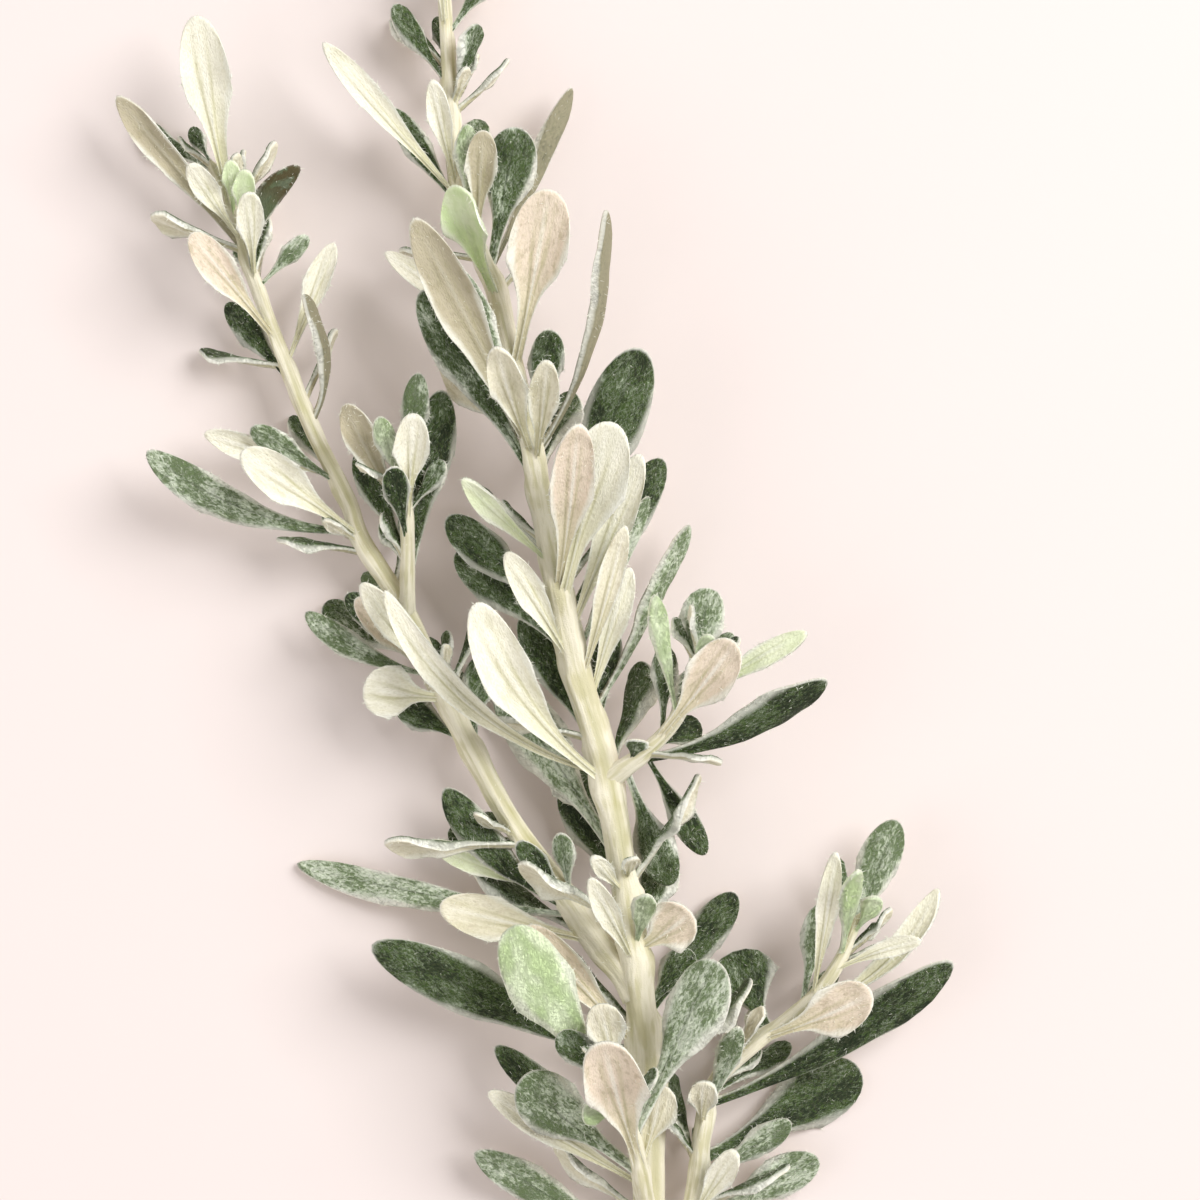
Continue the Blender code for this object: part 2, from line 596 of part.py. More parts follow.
def build(shoot: Shoot, stem: Stem, root: bpy.types.Object) -> None:
    """Fuse a shoot's stem and leaves into one closed body."""
    scene = bpy.context.scene
    leaves = bpy.data.collections.new(shoot.name + "_leaves")
    scene.collection.children.link(leaves)
    body = new_object(shoot.name, stem.vertices, stem.triangles, scene.collection)
    for blade in shoot.blades:
        new_object("leaf", *blade.shape(), leaves)
    union = body.modifiers.new("Leaves", "BOOLEAN")
    union.operation = "UNION"
    union.operand_type = "COLLECTION"
    union.collection = leaves
    union.solver = "EXACT"
    graph = bpy.context.evaluated_depsgraph_get()
    fused = bpy.data.meshes.new_from_object(body.evaluated_get(graph))
    body.modifiers.clear()
    body.data = fused
    for leaf in list(leaves.objects):
        bpy.data.objects.remove(leaf)
    bpy.data.collections.remove(leaves)
    keep_outer_body(fused)
    fused.name = shoot.name
    fused.materials.append(leaf_material(shoot.name, shoot.colour))
    body.parent = root


def main() -> None:
    """Clear the scene and build every shoot under one empty."""
    for obj in list(bpy.data.objects):
        bpy.data.objects.remove(obj)
    root = bpy.data.objects.new("sprig", None)
    bpy.context.scene.collection.objects.link(root)
    stems = grow(SHOOTS)
    for shoot in SHOOTS:
        build(shoot, stems[shoot.name], root)


main()
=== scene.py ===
"""Dress the cut sprig of wild rosemary: felted leaves, woolly stems, a pale floor and soft light.

The sprig lies along +Y with its cut end near the origin. The places of the leaves are worked out
from the same plan as the solids, so every fine leaf lies on its coarse one.
"""

import json
import logging
import math
import random
from collections.abc import Callable
from dataclasses import dataclass, field, replace
from enum import Enum

import bmesh
import bpy
import numpy as np
from mathutils import Matrix, Vector, noise
from mathutils.bvhtree import BVHTree

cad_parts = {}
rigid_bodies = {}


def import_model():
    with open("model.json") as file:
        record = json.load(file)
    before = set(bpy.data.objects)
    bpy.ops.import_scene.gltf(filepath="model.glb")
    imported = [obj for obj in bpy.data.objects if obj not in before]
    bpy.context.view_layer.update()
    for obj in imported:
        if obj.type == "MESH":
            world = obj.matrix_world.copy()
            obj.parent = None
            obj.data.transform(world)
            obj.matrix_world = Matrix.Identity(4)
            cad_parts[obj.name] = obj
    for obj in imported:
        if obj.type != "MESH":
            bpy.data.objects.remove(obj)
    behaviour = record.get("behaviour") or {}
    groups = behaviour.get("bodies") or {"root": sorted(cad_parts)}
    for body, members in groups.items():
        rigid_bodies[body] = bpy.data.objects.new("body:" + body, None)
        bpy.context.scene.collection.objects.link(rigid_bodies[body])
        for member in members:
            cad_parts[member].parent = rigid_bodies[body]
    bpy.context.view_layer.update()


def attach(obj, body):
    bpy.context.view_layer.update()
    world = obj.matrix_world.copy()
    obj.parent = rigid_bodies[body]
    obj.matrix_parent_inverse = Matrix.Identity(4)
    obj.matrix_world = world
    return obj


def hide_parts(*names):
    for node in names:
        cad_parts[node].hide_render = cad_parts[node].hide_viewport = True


MM = 0.001
UP = Vector((0.0, 0.0, 1.0))
LOG = logging.getLogger("sprig")

# Stems of the solids
STEM_SIDES = 8
STEM_RING_STEP = 6.0 * MM
JOINT_GAP = 0.35 * MM
FOOT_SLIDE = 5.0 * MM
FOOT_STEP = 0.1 * MM
BISECTIONS = 30

# Leaves of the solids: the shares are of a leaf's length, its width or its half width
BLADE_THICKNESS = 0.8 * MM
STALK_SHARE = 0.18
TIP_SHARE = 0.3
WIDEST_AT = 0.68
WAIST = 1.5
LARGE_LEAF = 14.0 * MM
LARGE_STATIONS = (0.0, 0.35, 0.7, 0.9, 1.0)
SMALL_STATIONS = (0.0, 0.4, 0.8, 1.0)
SPINE_STEPS = 20
MARGIN_DROP = 0.26
FREE_FROM = 0.36
FREE_STEP = 0.1
STEEPEST_LIFT = 78
SETTLE_RANGE = math.radians(70)

# How a leaf is bent when its first place is taken: steps of lift and of side, in degrees
BEND_STEPS = ((0, 0), (7, 0), (-7, 0), (14, 0), (-14, 0), (0, 7), (0, -7), (21, 0), (-21, 0),
              (10, 8), (10, -8), (-10, 8), (-10, -8), (28, 0), (-28, 0), (20, 10), (20, -10),
              (-20, 10), (-20, -10), (36, 0), (0, 15), (0, -15), (30, 15), (30, -15))
NODE_CLEARANCE = 0.45 * MM

# The spiral of leaves on the hidden sides: angles in degrees, lengths in millimetres
SPIRAL_TURN = 137.5
BARE_HALF_ANGLE = 62
SPREAD = (38, 58)
TWIST = (-25, 25)
CURL = (-12, 14)
WIDTH_SHARE = (0.25, 0.32)
TIP_SHORTENING = 0.35
TUFT_CHANCE = 0.55
TUFT_LENGTH = (5.5, 8.5)
TUFT_SIDES = (-23, 23)
TUFT_SPREAD_SHARE = 0.6
TUFT_OFFSET = 1.0
SEED = 41

# The length of stem that its pattern takes as one
STEM_UNROLL = 60 * MM


class Tone(Enum):
    """How a leaf is coloured: its freshness, the paleness of its felt and the rose in it."""

    GROWN = (0.0, 0.0, 0.15)
    DEEP = (0.0, -0.35, 0.0)
    FRESH = (1.0, 0.35, 0.0)
    MINT = (0.55, 0.45, 0.0)
    GREY = (0.1, 0.35, 0.1)
    CREAM = (0.1, 0.9, 0.15)
    ROSY = (0.0, 0.35, 1.0)
    BROWN = (0.0, -0.7, 0.8)
    SCORCHED = (0.15, -1.0, 0.2)


GROWN, DEEP, FRESH, MINT, GREY, CREAM, ROSY, BROWN, SCORCHED = Tone


@dataclass(frozen=True)
class Leaf:
    """A leaf as the photograph shows it: millimetres and degrees.

    along is its seat up the shoot, side its turn from the shoot's own direction (plus is to the
    right), lift its rise above the plan, and roll what faces the sky: 0 the green upper face,
    180 the felted underside. curl bends the blade towards its upper face, and sweep turns it to
    the right like a sickle.
    """

    along: float
    side: float
    lift: float
    length: float
    width: float
    tone: Tone = GROWN
    roll: float = 0.0
    curl: float = 0.0
    sweep: float = 0.0


@dataclass
class Shoot:
    """A leafy shoot: its route in millimetres, foot to tip, its radii and its leaves' fields."""

    name: str
    route: list[tuple[float, float, float]]
    foot_radius: float
    tip_radius: float
    leaf_rows: list[tuple]
    parent: str = ""
    fill_from: float = 6.0
    fill_step: float = 5.0
    fill_length: tuple[float, float] = (13.0, 20.0)
    slot: str = "stem_and_leaf"
    blades: list["Blade"] = field(default_factory=list)


MAIN_ROUTE = [
    (0, -6, 2.05), (0, 0, 2.05), (0, 7, 2.05), (0, 15, 2.6), (0, 24, 3.7), (-0.2, 36, 5.4),
    (-1.2, 48, 7.4), (-3.4, 64.8, 9.8), (-5.4, 75.6, 11), (-8.6, 86.4, 11.8), (-10.8, 96, 12.2),
    (-12.6, 105.6, 12.3), (-14.6, 116.4, 11.8), (-16.8, 126, 11), (-18.6, 133.2, 10.2),
    (-21, 139.2, 9.4), (-23.4, 146.4, 8.4), (-24.4, 160, 6.8), (-25.2, 173, 5.8),
]
LEFT_ROUTE = [
    (-1.4, 48, 7.4), (-2.9, 50.6, 7.2), (-6, 54.6, 6.9), (-10.8, 61.2, 6.6), (-16.6, 68.9, 6.4),
    (-21.6, 78, 6.4), (-26, 87.2, 6.5), (-29.6, 95, 6.7), (-34.9, 103.7, 7), (-36.5, 108.2, 7),
    (-40.7, 116.3, 6.9), (-44, 124.6, 6.6), (-47.5, 133.4, 6.2), (-51.4, 145.1, 5.6),
    (-53.4, 149.5, 5.6),
]
LEFT_SIDE_ROUTE = [(-29.4, 94.4, 6.7), (-29.2, 98, 9), (-29.1, 103, 10.6), (-29.5, 110.4, 11.6)]
RIGHT_ROUTE = [(-5.2, 74.4, 10.9), (-3.2, 76, 12), (-0.6, 77.8, 13), (2.4, 80.8, 14),
               (4.4, 84.6, 14.8), (6, 88.8, 15.4)]
LOWER_RIGHT_ROUTE = [(0, 9, 2.1), (2.2, 13, 3.2), (4.4, 19.2, 4.2), (5.8, 25.2, 4.8),
                     (6.4, 31.2, 5.2), (7.8, 37, 5.8), (12.6, 42, 6.8), (18.6, 46.7, 7.8),
                     (22.8, 52.2, 8.6), (25.4, 58.2, 9.2)]
FRONT_ROUTE = [(0, 20.5, 3.3), (-0.4, 23, 6.4), (-1.2, 27.6, 10.2), (-2.6, 34, 14),
               (-4, 40.8, 17)]

MAIN_LEAVES = [
    # low on the stem, under the photograph's edge
    (11, -50, 10, 10, 4.3), (16, 60, 20, 10, 4.1, GROWN, 180), (17, -56, 6, 13, 5.3),
    (22, -59, 6, 25, 4.6, GREY),
    # the lower cluster
    (45, -61, 10, 37, 6.8, DEEP, 0, -6), (46, 53, -12, 9, 3.6, GROWN, 170),
    (47, -37, 12, 22, 4.4, ROSY, 180), (51, 42, -16, 20, 4.8, DEEP), (52, 43, -6, 10, 4.1),
    (58, -19, 42, 16, 3, CREAM, 180, 10), (60, 60, 34, 10, 6.4, ROSY, 180, 6),
    (60, 19, 46, 11, 3, MINT, 10), (66, -22, -20, 17, 4.8, DEEP),
    (67, -32, 36, 9, 2.2, CREAM, 180),
    # the middle, left of the stem
    (71, -26, -16, 27, 7.2, GREY, 0, 6), (82, -61, 12, 36, 3.2, CREAM, 170, 8, 50),
    (84, -14, 2, 20, 4.8, DEEP, 0, 8), (81, -42, 24, 29, 6.2, CREAM, 180, 8, 40),
    (95, -16, 18, 17, 3.6, CREAM, 180, 8), (97, -35, -10, 19, 5.2), (101, -36, -10, 19, 5, DEEP),
    (108, -36, 22, 16, 2.6, MINT, 150),
    # the middle, right of the stem
    (89, 50, -8, 27, 2.7, GREY, 50, -14), (90, 34, 8, 18, 3.4, CREAM, 180),
    (93, 31, 10, 21, 3, GROWN, 180), (86, 22, -10, 15, 4.2, DEEP),
    (96, 38, -10, 22, 3.1, GREY, 20), (99, 34, 10, 24, 4.6, CREAM, 180),
    (101, 43, -16, 24, 5.3, DEEP), (103, 27, 30, 25, 7.6, CREAM, 180, 8),
    (105, 19, 44, 26, 5.5, ROSY, 190, 4), (106, 31, 8, 30, 7.6, DEEP, 0, 6),
    # the upper cluster
    (118, -21, 2, 27, 6.2, GROWN, 0, 8), (120, 18, 40, 16, 3.8, GROWN, 180),
    (121, -8, 42, 18, 4.4, GROWN, 170), (121, -16, 16, 33, 5.6, BROWN, 180, -6),
    (123, 22, 8, 14, 4.4, DEEP), (124, -14, 2, 23, 4.8, GREY),
    (121, 47, 14, 32, 2.6, BROWN, 60, 0, -42), (132, 25, 26, 23, 7.2, ROSY, 180, 8),
    (136, -42, -2, 18, 2.8, CREAM, 180), (141, -7, 36, 16, 6, FRESH, 150, 10),
    (144, 33, 4, 18, 6.4, GROWN, 0, 8), (144, 47, -8, 26, 3, BROWN, 20, -12),
    (148, 25, 10, 14, 3.9, BROWN, 180), (151, 23, 24, 12, 2.9, MINT, 20), (152, -14, -8, 16, 3.5),
    # the tip
    (154, -27, 6, 25, 3.2, CREAM, 180, -14), (155, 0, 18, 14, 2.9, CREAM, 170),
    (165, 25, 12, 11, 3.4, GROWN, 60, -10), (168, -31, 0, 12, 3.1, GROWN, 20),
    (174, 37, -6, 12, 3.6), (175, -1, 20, 12, 4.1, CREAM, 180),
]
LEFT_LEAVES = [
    (8, -40, 4, 20, 5.4, GROWN, 180), (12, -50, -6, 36, 3.8, GREY, 20, -8, 14),
    (12, -27, 4, 23, 4.6, DEEP, 0, 0, 34), (13, -4, 10, 12, 3, DEEP), (14, 18, 10, 10, 2.8, GREY),
    (15, -33, 2, 18, 3.4, MINT, 170), (23, -47, -14, 10, 3.6), (37, 31, -8, 11, 4.8),
    (37, -34, -6, 10, 4, DEEP), (41, 3, -4, 11, 3.6), (43, -57, 28, 11, 6.4, CREAM, 180, 10),
    (44, -11, 26, 18, 3.6, CREAM, 180), (45, -9, 36, 15, 3.6, ROSY, 180),
    (46, -56, 6, 18, 3.4, GREY, 0, -8, 36), (47, -25, -4, 14, 3.8, DEEP),
    (50, -17, 2, 13, 3.4, GREY), (65, -25, 24, 19, 5.2, CREAM, 180),
    (66, -66, 8, 28, 4.6, GREY, 0, -6, 44), (72, -30, 10, 13, 3.4, GREY),
    (73, -43, 0, 17, 3.2, CREAM, 170), (80, 52, 10, 17, 2.8, BROWN, 60, 0, -66),
    (85, -19, -6, 14, 3.6, DEEP), (88, 42, -4, 16, 3.2, CREAM, 170),
    (91, -16, 16, 17, 4.2, ROSY, 180), (98, 64, 6, 9, 2.5, GREY, 20),
    (98, 4, 14, 17, 3.2, SCORCHED, 20, -6, 78), (99, 18, 24, 12, 3.4, CREAM, 180),
    (103, -20, 4, 24, 3.6, BROWN, 160, -10), (104, -15, 26, 12, 3.1, CREAM, 180),
    (105, 28, 34, 9, 2.9, FRESH, 180), (107, 18, 40, 8, 2.4, FRESH, 180),
    (108, 9, 14, 24, 6, CREAM, 180),
]
LEFT_SIDE_LEAVES = [
    (4, 8, 2, 24, 5.2, DEEP, 0, 6), (7, -26, -8, 15, 4, DEEP), (9, -10, -6, 11, 3.4, DEEP),
    (12, 8, 24, 14, 4.3, CREAM, 180), (12, -24, 4, 16, 4.2, BROWN, 170, -6),
    (15, -14, 12, 11, 2.8, MINT, 10), (15, 10, 0, 15, 3.4, GREY),
]
RIGHT_LEAVES = [
    (3, 112, -22, 17, 5), (4, -41, 28, 5, 2.9, DEEP), (4, 24, 8, 26, 4.8, DEEP, 24, 6, -34),
    (6, 99, -24, 16, 3.6, DEEP), (7, 17, -12, 7, 4, DEEP), (8, -9, 30, 17, 5.8, ROSY, 180, 6),
    (9, -41, -10, 11, 3.4, DEEP), (12, -39, 22, 16, 2.4, FRESH, 20),
    (14, 37, 6, 17, 2.8, MINT, 160, -8), (15, -12, -4, 13, 5.5, GREY, 0, 6),
    (16, -1, 34, 8, 2.4, FRESH),
]
LOWER_RIGHT_LEAVES = [
    (5, 49, 4, 11, 4.8, GROWN, 180), (12, 48, -2, 18, 5.2, GREY),
    (12, 15, 14, 13, 3.4, CREAM, 180), (17, 45, -4, 14, 3.4, GREY), (20, 57, -14, 23, 8, DEEP),
    (24, -8, 8, 8, 3.6, GROWN, 170), (25, 11, 10, 14, 3.2, GREY),
    (27, 59, 2, 35, 5.6, DEEP, 20, 6, -26), (38, 12, 30, 16, 6, ROSY, 180, 8),
    (39, -77, -16, 11, 8.4, DEEP), (44, -35, -6, 13, 3.8, GREY),
    (44, 28, 0, 23, 3.2, GREY, 150, 0, -55), (46, -34, 24, 20, 2.8, CREAM, 180),
    (50, 26, 20, 12, 2.4, CREAM, 170, 0, 20), (51, -8, -2, 19, 5, GREY, 0, 6),
    (52, -20, 34, 15, 3, FRESH, 30), (55, 18, 20, 7, 2.6, FRESH, 10, 0, -20),
]
FRONT_LEAVES = [
    (7, -49, 2, 22, 3.6, CREAM, 180), (8, -38, -4, 24, 4.1, DEEP),
    (9, -41, 6, 19, 7.2, GREY, 10, 8), (10, 25, 20, 11, 5.3, GROWN, 180),
    (10, -4, 34, 22, 7.6, ROSY, 180, 6), (15, 38, 8, 24, 7.2, GREY, -16, 6),
    (18, -21, 2, 27, 8.2, FRESH, 10, 10), (19, -81, 50, 6, 3.4, FRESH), (22, -38, -6, 10, 4.1),
    (23, -3, 14, 10, 4.8, GROWN, 180),
]
SHOOTS = [
    Shoot("main_shoot", MAIN_ROUTE, 2.3, 0.8, MAIN_LEAVES, fill_from=22, fill_step=4.6),
    Shoot("left_branch", LEFT_ROUTE, 1.6, 0.7, LEFT_LEAVES, "main_shoot",
          fill_from=8, fill_step=5.0),
    Shoot("left_side_shoot", LEFT_SIDE_ROUTE, 0.95, 0.6, LEFT_SIDE_LEAVES, "left_branch",
          fill_from=6, fill_step=3.4, fill_length=(8, 12)),
    Shoot("right_shoot", RIGHT_ROUTE, 1.05, 0.6, RIGHT_LEAVES, "main_shoot",
          fill_from=6, fill_step=3.2, fill_length=(8, 12)),
    Shoot("lower_right_shoot", LOWER_RIGHT_ROUTE, 1.4, 0.7, LOWER_RIGHT_LEAVES, "main_shoot",
          fill_from=10, fill_step=4.6, fill_length=(10, 16)),
    Shoot("front_shoot", FRONT_ROUTE, 1.2, 0.7, FRONT_LEAVES, "main_shoot",
          fill_from=12, fill_step=3.4, fill_length=(8, 12), slot="young_leaf"),
]


def level_frame(axis: Vector) -> tuple[Vector, Vector]:
    """The level side of a direction, and the top that is square to both."""
    side = axis.cross(UP).normalized()
    return side, side.cross(axis)


def narrow(low: float, high: float, falls_short: Callable[[float], bool]) -> float:
    """Find the least value that is enough, by halving.

    Args:
        low: A value that falls short.
        high: A value that is enough.
        falls_short: The test of a value.

    Returns:
        The value.
    """
    for _ in range(BISECTIONS):
        middle = (low + high) / 2
        if falls_short(middle):
            low = middle
        else:
            high = middle
    return high


class Route:
    """A smooth centreline through a shoot's points, measured along its length."""

    SAMPLES = 12

    def __init__(self, shoot: Shoot) -> None:
        """Sample the smooth curve of a shoot.

        Args:
            shoot: The shoot whose route is followed.
        """
        points = [Vector(p) * MM for p in shoot.route]
        ends = [2 * points[0] - points[1], *points, 2 * points[-1] - points[-2]]
        self.points = [self._spline(ends[i:i + 4], k / self.SAMPLES)
                       for i in range(len(points) - 1) for k in range(self.SAMPLES)]
        self.points.append(points[-1])
        self.runs = [0.0]
        for before, after in zip(self.points, self.points[1:]):
            self.runs.append(self.runs[-1] + (after - before).length)
        self.length = self.runs[-1]
        self.foot_radius = shoot.foot_radius * MM
        self.tip_radius = shoot.tip_radius * MM

    @staticmethod
    def _spline(four: list[Vector], t: float) -> Vector:
        """A Catmull-Rom curve between the middle two of four points."""
        a, b, c, d = four
        return 0.5 * (2 * b + (c - a) * t + (2 * a - 5 * b + 4 * c - d) * t ** 2
                      + (3 * b - a - 3 * c + d) * t ** 3)

    def at(self, run: float) -> tuple[Vector, Vector, float]:
        """Find a place on the route.

        Args:
            run: The length along the route, in metres.

        Returns:
            The point, the direction there and the stem's radius there.
        """
        run = min(max(run, 0.0), self.length)
        i = next(k for k in range(1, len(self.runs)) if self.runs[k] >= run)
        share = (run - self.runs[i - 1]) / (self.runs[i] - self.runs[i - 1])
        point = self.points[i - 1].lerp(self.points[i], share)
        before = self.points[max(i - 2, 0)]
        after = self.points[min(i + 1, len(self.points) - 1)]
        grown = run / self.length
        radius = self.foot_radius + (self.tip_radius - self.foot_radius) * grown
        return point, (after - before).normalized(), radius

    def reach(self, place: Vector) -> float:
        """Measure how far a place is outside the stem's round surface.

        Args:
            place: The place, in metres.

        Returns:
            The distance, which is negative inside the stem.
        """
        best = math.inf
        for i in range(len(self.points) - 1):
            start, end = self.points[i], self.points[i + 1]
            line = end - start
            share = min(max((place - start).dot(line) / line.length_squared, 0.0), 1.0)
            gap = (place - (start + line * share)).length
            run = self.runs[i] + share * line.length
            radius = self.foot_radius + (self.tip_radius - self.foot_radius) * run / self.length
            best = min(best, gap - radius)
        return best


Skin = tuple[list[Vector], list[tuple[int, int, int]]]
Tree = tuple[BVHTree, Vector, Vector]


class CoarseStem:
    """The closed tube of a shoot's solid, which the leaves are held clear of."""

    def __init__(self, route: Route, parent: Route | None = None) -> None:
        """Work out the tube.

        Args:
            route: The shoot's own route.
            parent: The route of the stem that carries it, if one does.
        """
        self.vertices: list[Vector] = []
        self.triangles: list[tuple[int, int, int]] = []
        start = self._first_run(route, parent)
        count = max(3, round((route.length - start) / STEM_RING_STEP))
        for i in range(count + 1):
            point, ahead, radius = route.at(start + (route.length - start) * i / count)
            ring = self._ring(point, ahead, radius)
            if i == 0 and parent:
                ring = [self._seat(v, ahead, parent) for v in ring]
            self.vertices += ring
        self._close(count + 1, (route.at(start)[0], route.points[-1]))

    def _first_run(self, route: Route, parent: Route | None) -> float:
        """Find where the tube starts, just outside the stem that carries it.

        Args:
            route: The shoot's own route.
            parent: The route of the stem that carries it, if one does.

        Returns:
            The length along the route.
        """
        run = 0.0
        while parent and parent.reach(route.at(run)[0]) < JOINT_GAP:
            run += FOOT_STEP
        return run

    def _ring(self, point: Vector, ahead: Vector, radius: float) -> list[Vector]:
        """Set out a ring with a flat side down, pressed level where it would pass the surface.

        Args:
            point: Its middle.
            ahead: The stem's direction there.
            radius: Its radius.

        Returns:
            Its corners.
        """
        side, top = level_frame(ahead)
        ring = []
        for k in range(STEM_SIDES):
            angle = 2 * math.pi * (k + 0.5) / STEM_SIDES
            v = point + side * math.sin(angle) * radius + top * math.cos(angle) * radius
            v.z = max(v.z, 0.0)
            ring.append(v)
        return ring

    def _seat(self, v: Vector, ahead: Vector, parent: Route) -> Vector:
        """Slide a foot corner up the shoot until it stands one gap off its parent.

        Args:
            v: The corner.
            ahead: The shoot's direction at its foot.
            parent: The route of the stem that carries it.

        Returns:
            The corner in its new place.
        """
        if parent.reach(v) >= JOINT_GAP:
            return v
        return v + ahead * narrow(0.0, FOOT_SLIDE,
                                  lambda slide: parent.reach(v + ahead * slide) < JOINT_GAP)

    def _close(self, rings: int, ends: tuple[Vector, Vector]) -> None:
        """Join the rings into a closed skin, with a fan of faces round the middle of each end.

        Args:
            rings: How many rings there are.
            ends: The middles of the foot and of the tip.
        """
        n = STEM_SIDES
        for i in range(rings - 1):
            for k in range(n):
                a, b = i * n + k, i * n + (k + 1) % n
                self.triangles += [(a, b, b + n), (a, b + n, a + n)]
        for first, middle in ((0, ends[0]), ((rings - 1) * n, ends[1])):
            hub = len(self.vertices)
            self.vertices.append(middle)
            self.triangles += [(first + k, first + (k + 1) % n, hub) for k in range(n)]


@dataclass
class Blade:
    """One leaf in its place: a thin arched blade on a bent midline."""

    along: float
    seat: Vector
    heading: float
    lift: float
    roll: float
    length: float
    width: float
    curl: float
    sweep: float
    tone: Tone

    def frames(self, stations: tuple[float, ...]) -> list[tuple[Vector, Vector, Vector]]:
        """Follow the midline.

        Args:
            stations: Rising shares of the length.

        Returns:
            The midline point, the side and the upper normal at each share.
        """
        flat = Vector((math.sin(self.heading), math.cos(self.heading), 0.0))
        ahead = flat * math.cos(self.lift) + UP * math.sin(self.lift)
        side, _ = level_frame(ahead)
        side.rotate(Matrix.Rotation(self.roll, 3, ahead))
        frames = []
        point = self.seat.copy()
        sweep = Matrix.Rotation(-self.sweep / SPINE_STEPS, 3, UP)
        done = 0
        for share in stations:
            steps = round(share * SPINE_STEPS)
            for _ in range(steps - done):
                point = point + ahead * self.length / SPINE_STEPS
                ahead = sweep @ Matrix.Rotation(self.curl / SPINE_STEPS, 3, side) @ ahead
                side = sweep @ side
            done = steps
            frames.append((point.copy(), side, side.cross(ahead)))
        return frames

    def half_width(self, share: float) -> float:
        """Find half the width: a narrow stalk, then a rounded spoon.

        Args:
            share: The share of the length.

        Returns:
            Half the width there.
        """
        if share < WIDEST_AT:
            grown = (share / WIDEST_AT) ** WAIST
            grown = grown * grown * (3 - 2 * grown)
            return self.width / 2 * (STALK_SHARE + (1 - STALK_SHARE) * grown)
        beyond = (share - WIDEST_AT) / (1 - WIDEST_AT)
        return self.width / 2 * max(math.sqrt(max(1 - beyond * beyond, 0.0)), TIP_SHARE)

    def skin(self, swell: float = 0.0, free: bool = False) -> Skin:
        """Work out the coarse blade that the solids have.

        Args:
            swell: How much it is thickened on all sides.
            free: Whether the stalk is left out.

        Returns:
            The corners and the triangles, split alike on both faces.
        """
        large = self.length >= LARGE_LEAF
        stations = LARGE_STATIONS if large else SMALL_STATIONS
        if free:
            stations = (FREE_FROM, *[s for s in stations if s > FREE_FROM + FREE_STEP])
        across = (-1, 0, 1) if large else (-1, 1)
        half = BLADE_THICKNESS / 2 + swell
        vertices = []
        for share, (point, side, normal) in zip(stations, self.frames(stations)):
            reach = self.half_width(share) + swell
            for face in (1, -1):
                for place in across:
                    drop = abs(place) * reach * MARGIN_DROP if large else 0.0
                    vertices.append(point + side * reach * place + normal * (face * half - drop))
        return vertices, self._triangles(len(stations), len(across))

    @staticmethod
    def _triangles(stations: int, width: int) -> list[tuple[int, int, int]]:
        """Join the rows of a closed blade, which hold the upper and then the lower corners.

        Args:
            stations: How many rows there are.
            width: How many corners a row has on one face.

        Returns:
            The triangles.
        """
        row = 2 * width
        triangles = []
        for i in range(stations - 1):
            a, b = i * row, (i + 1) * row
            for k in range(width - 1):
                triangles += [(a + k, a + k + 1, b + k + 1), (a + k, b + k + 1, b + k)]
                c, d = a + width + k, b + width + k
                triangles += [(c, d + 1, c + 1), (c, d, d + 1)]
            right, under = width - 1, row - 1
            triangles += [(a + right, a + under, b + under), (a + right, b + under, b + right)]
            triangles += [(a, b, b + width), (a, b + width, a + width)]
        for first in (0, (stations - 1) * row):
            for k in range(width - 1):
                top, low = first + k, first + width + k
                triangles += [(top, low, low + 1), (top, low + 1, top + 1)]
        return triangles

    def settle(self) -> None:
        """Raise the blade about its seat until its lowest corner lies on the surface."""
        if self.lowest() < 0:
            self.lift = narrow(self.lift, self.lift + SETTLE_RANGE,
                               lambda lift: replace(self, lift=lift).lowest() < 0)

    def lowest(self) -> float:
        """The height of the blade's lowest corner."""
        return min(v.z for v in self.skin()[0])


class Crowd:
    """What already stands, so that a new leaf can be bent clear of it."""

    def __init__(self) -> None:
        """Start with nothing standing."""
        self.pieces: list[tuple[str, Tree, Tree]] = []

    def add(self, node: str, whole: Skin, free: Skin) -> None:
        """Remember a piece.

        Args:
            node: The node that the piece is part of.
            whole: Its whole skin.
            free: The skin of the part that stands free.
        """
        self.pieces.append((node, self._tree(whole), self._tree(free)))

    @staticmethod
    def _tree(skin: Skin) -> Tree:
        """Make a skin searchable.

        Args:
            skin: Its corners and triangles.

        Returns:
            The search tree, and the lowest and highest corners of its box.
        """
        low = Vector(map(min, zip(*skin[0])))
        high = Vector(map(max, zip(*skin[0])))
        return BVHTree.FromPolygons(*skin), low, high

    def is_clear(self, node: str, blade: Blade) -> bool:
        """Test whether a blade clears other nodes all along, and its own past the stalk.

        Args:
            node: The node that the blade belongs to.
            blade: The blade in its tried pose.

        Returns:
            True where nothing is touched.
        """
        wide = self._tree(blade.skin(NODE_CLEARANCE))
        free = self._tree(blade.skin(0.0, True))
        for owner, its_whole, its_free in self.pieces:
            mine, its = (free, its_free) if owner == node else (wide, its_whole)
            apart = any(mine[1][i] > its[2][i] or mine[2][i] < its[1][i] for i in range(3))
            if not apart and mine[0].overlap(its[0]):
                return False
        return True


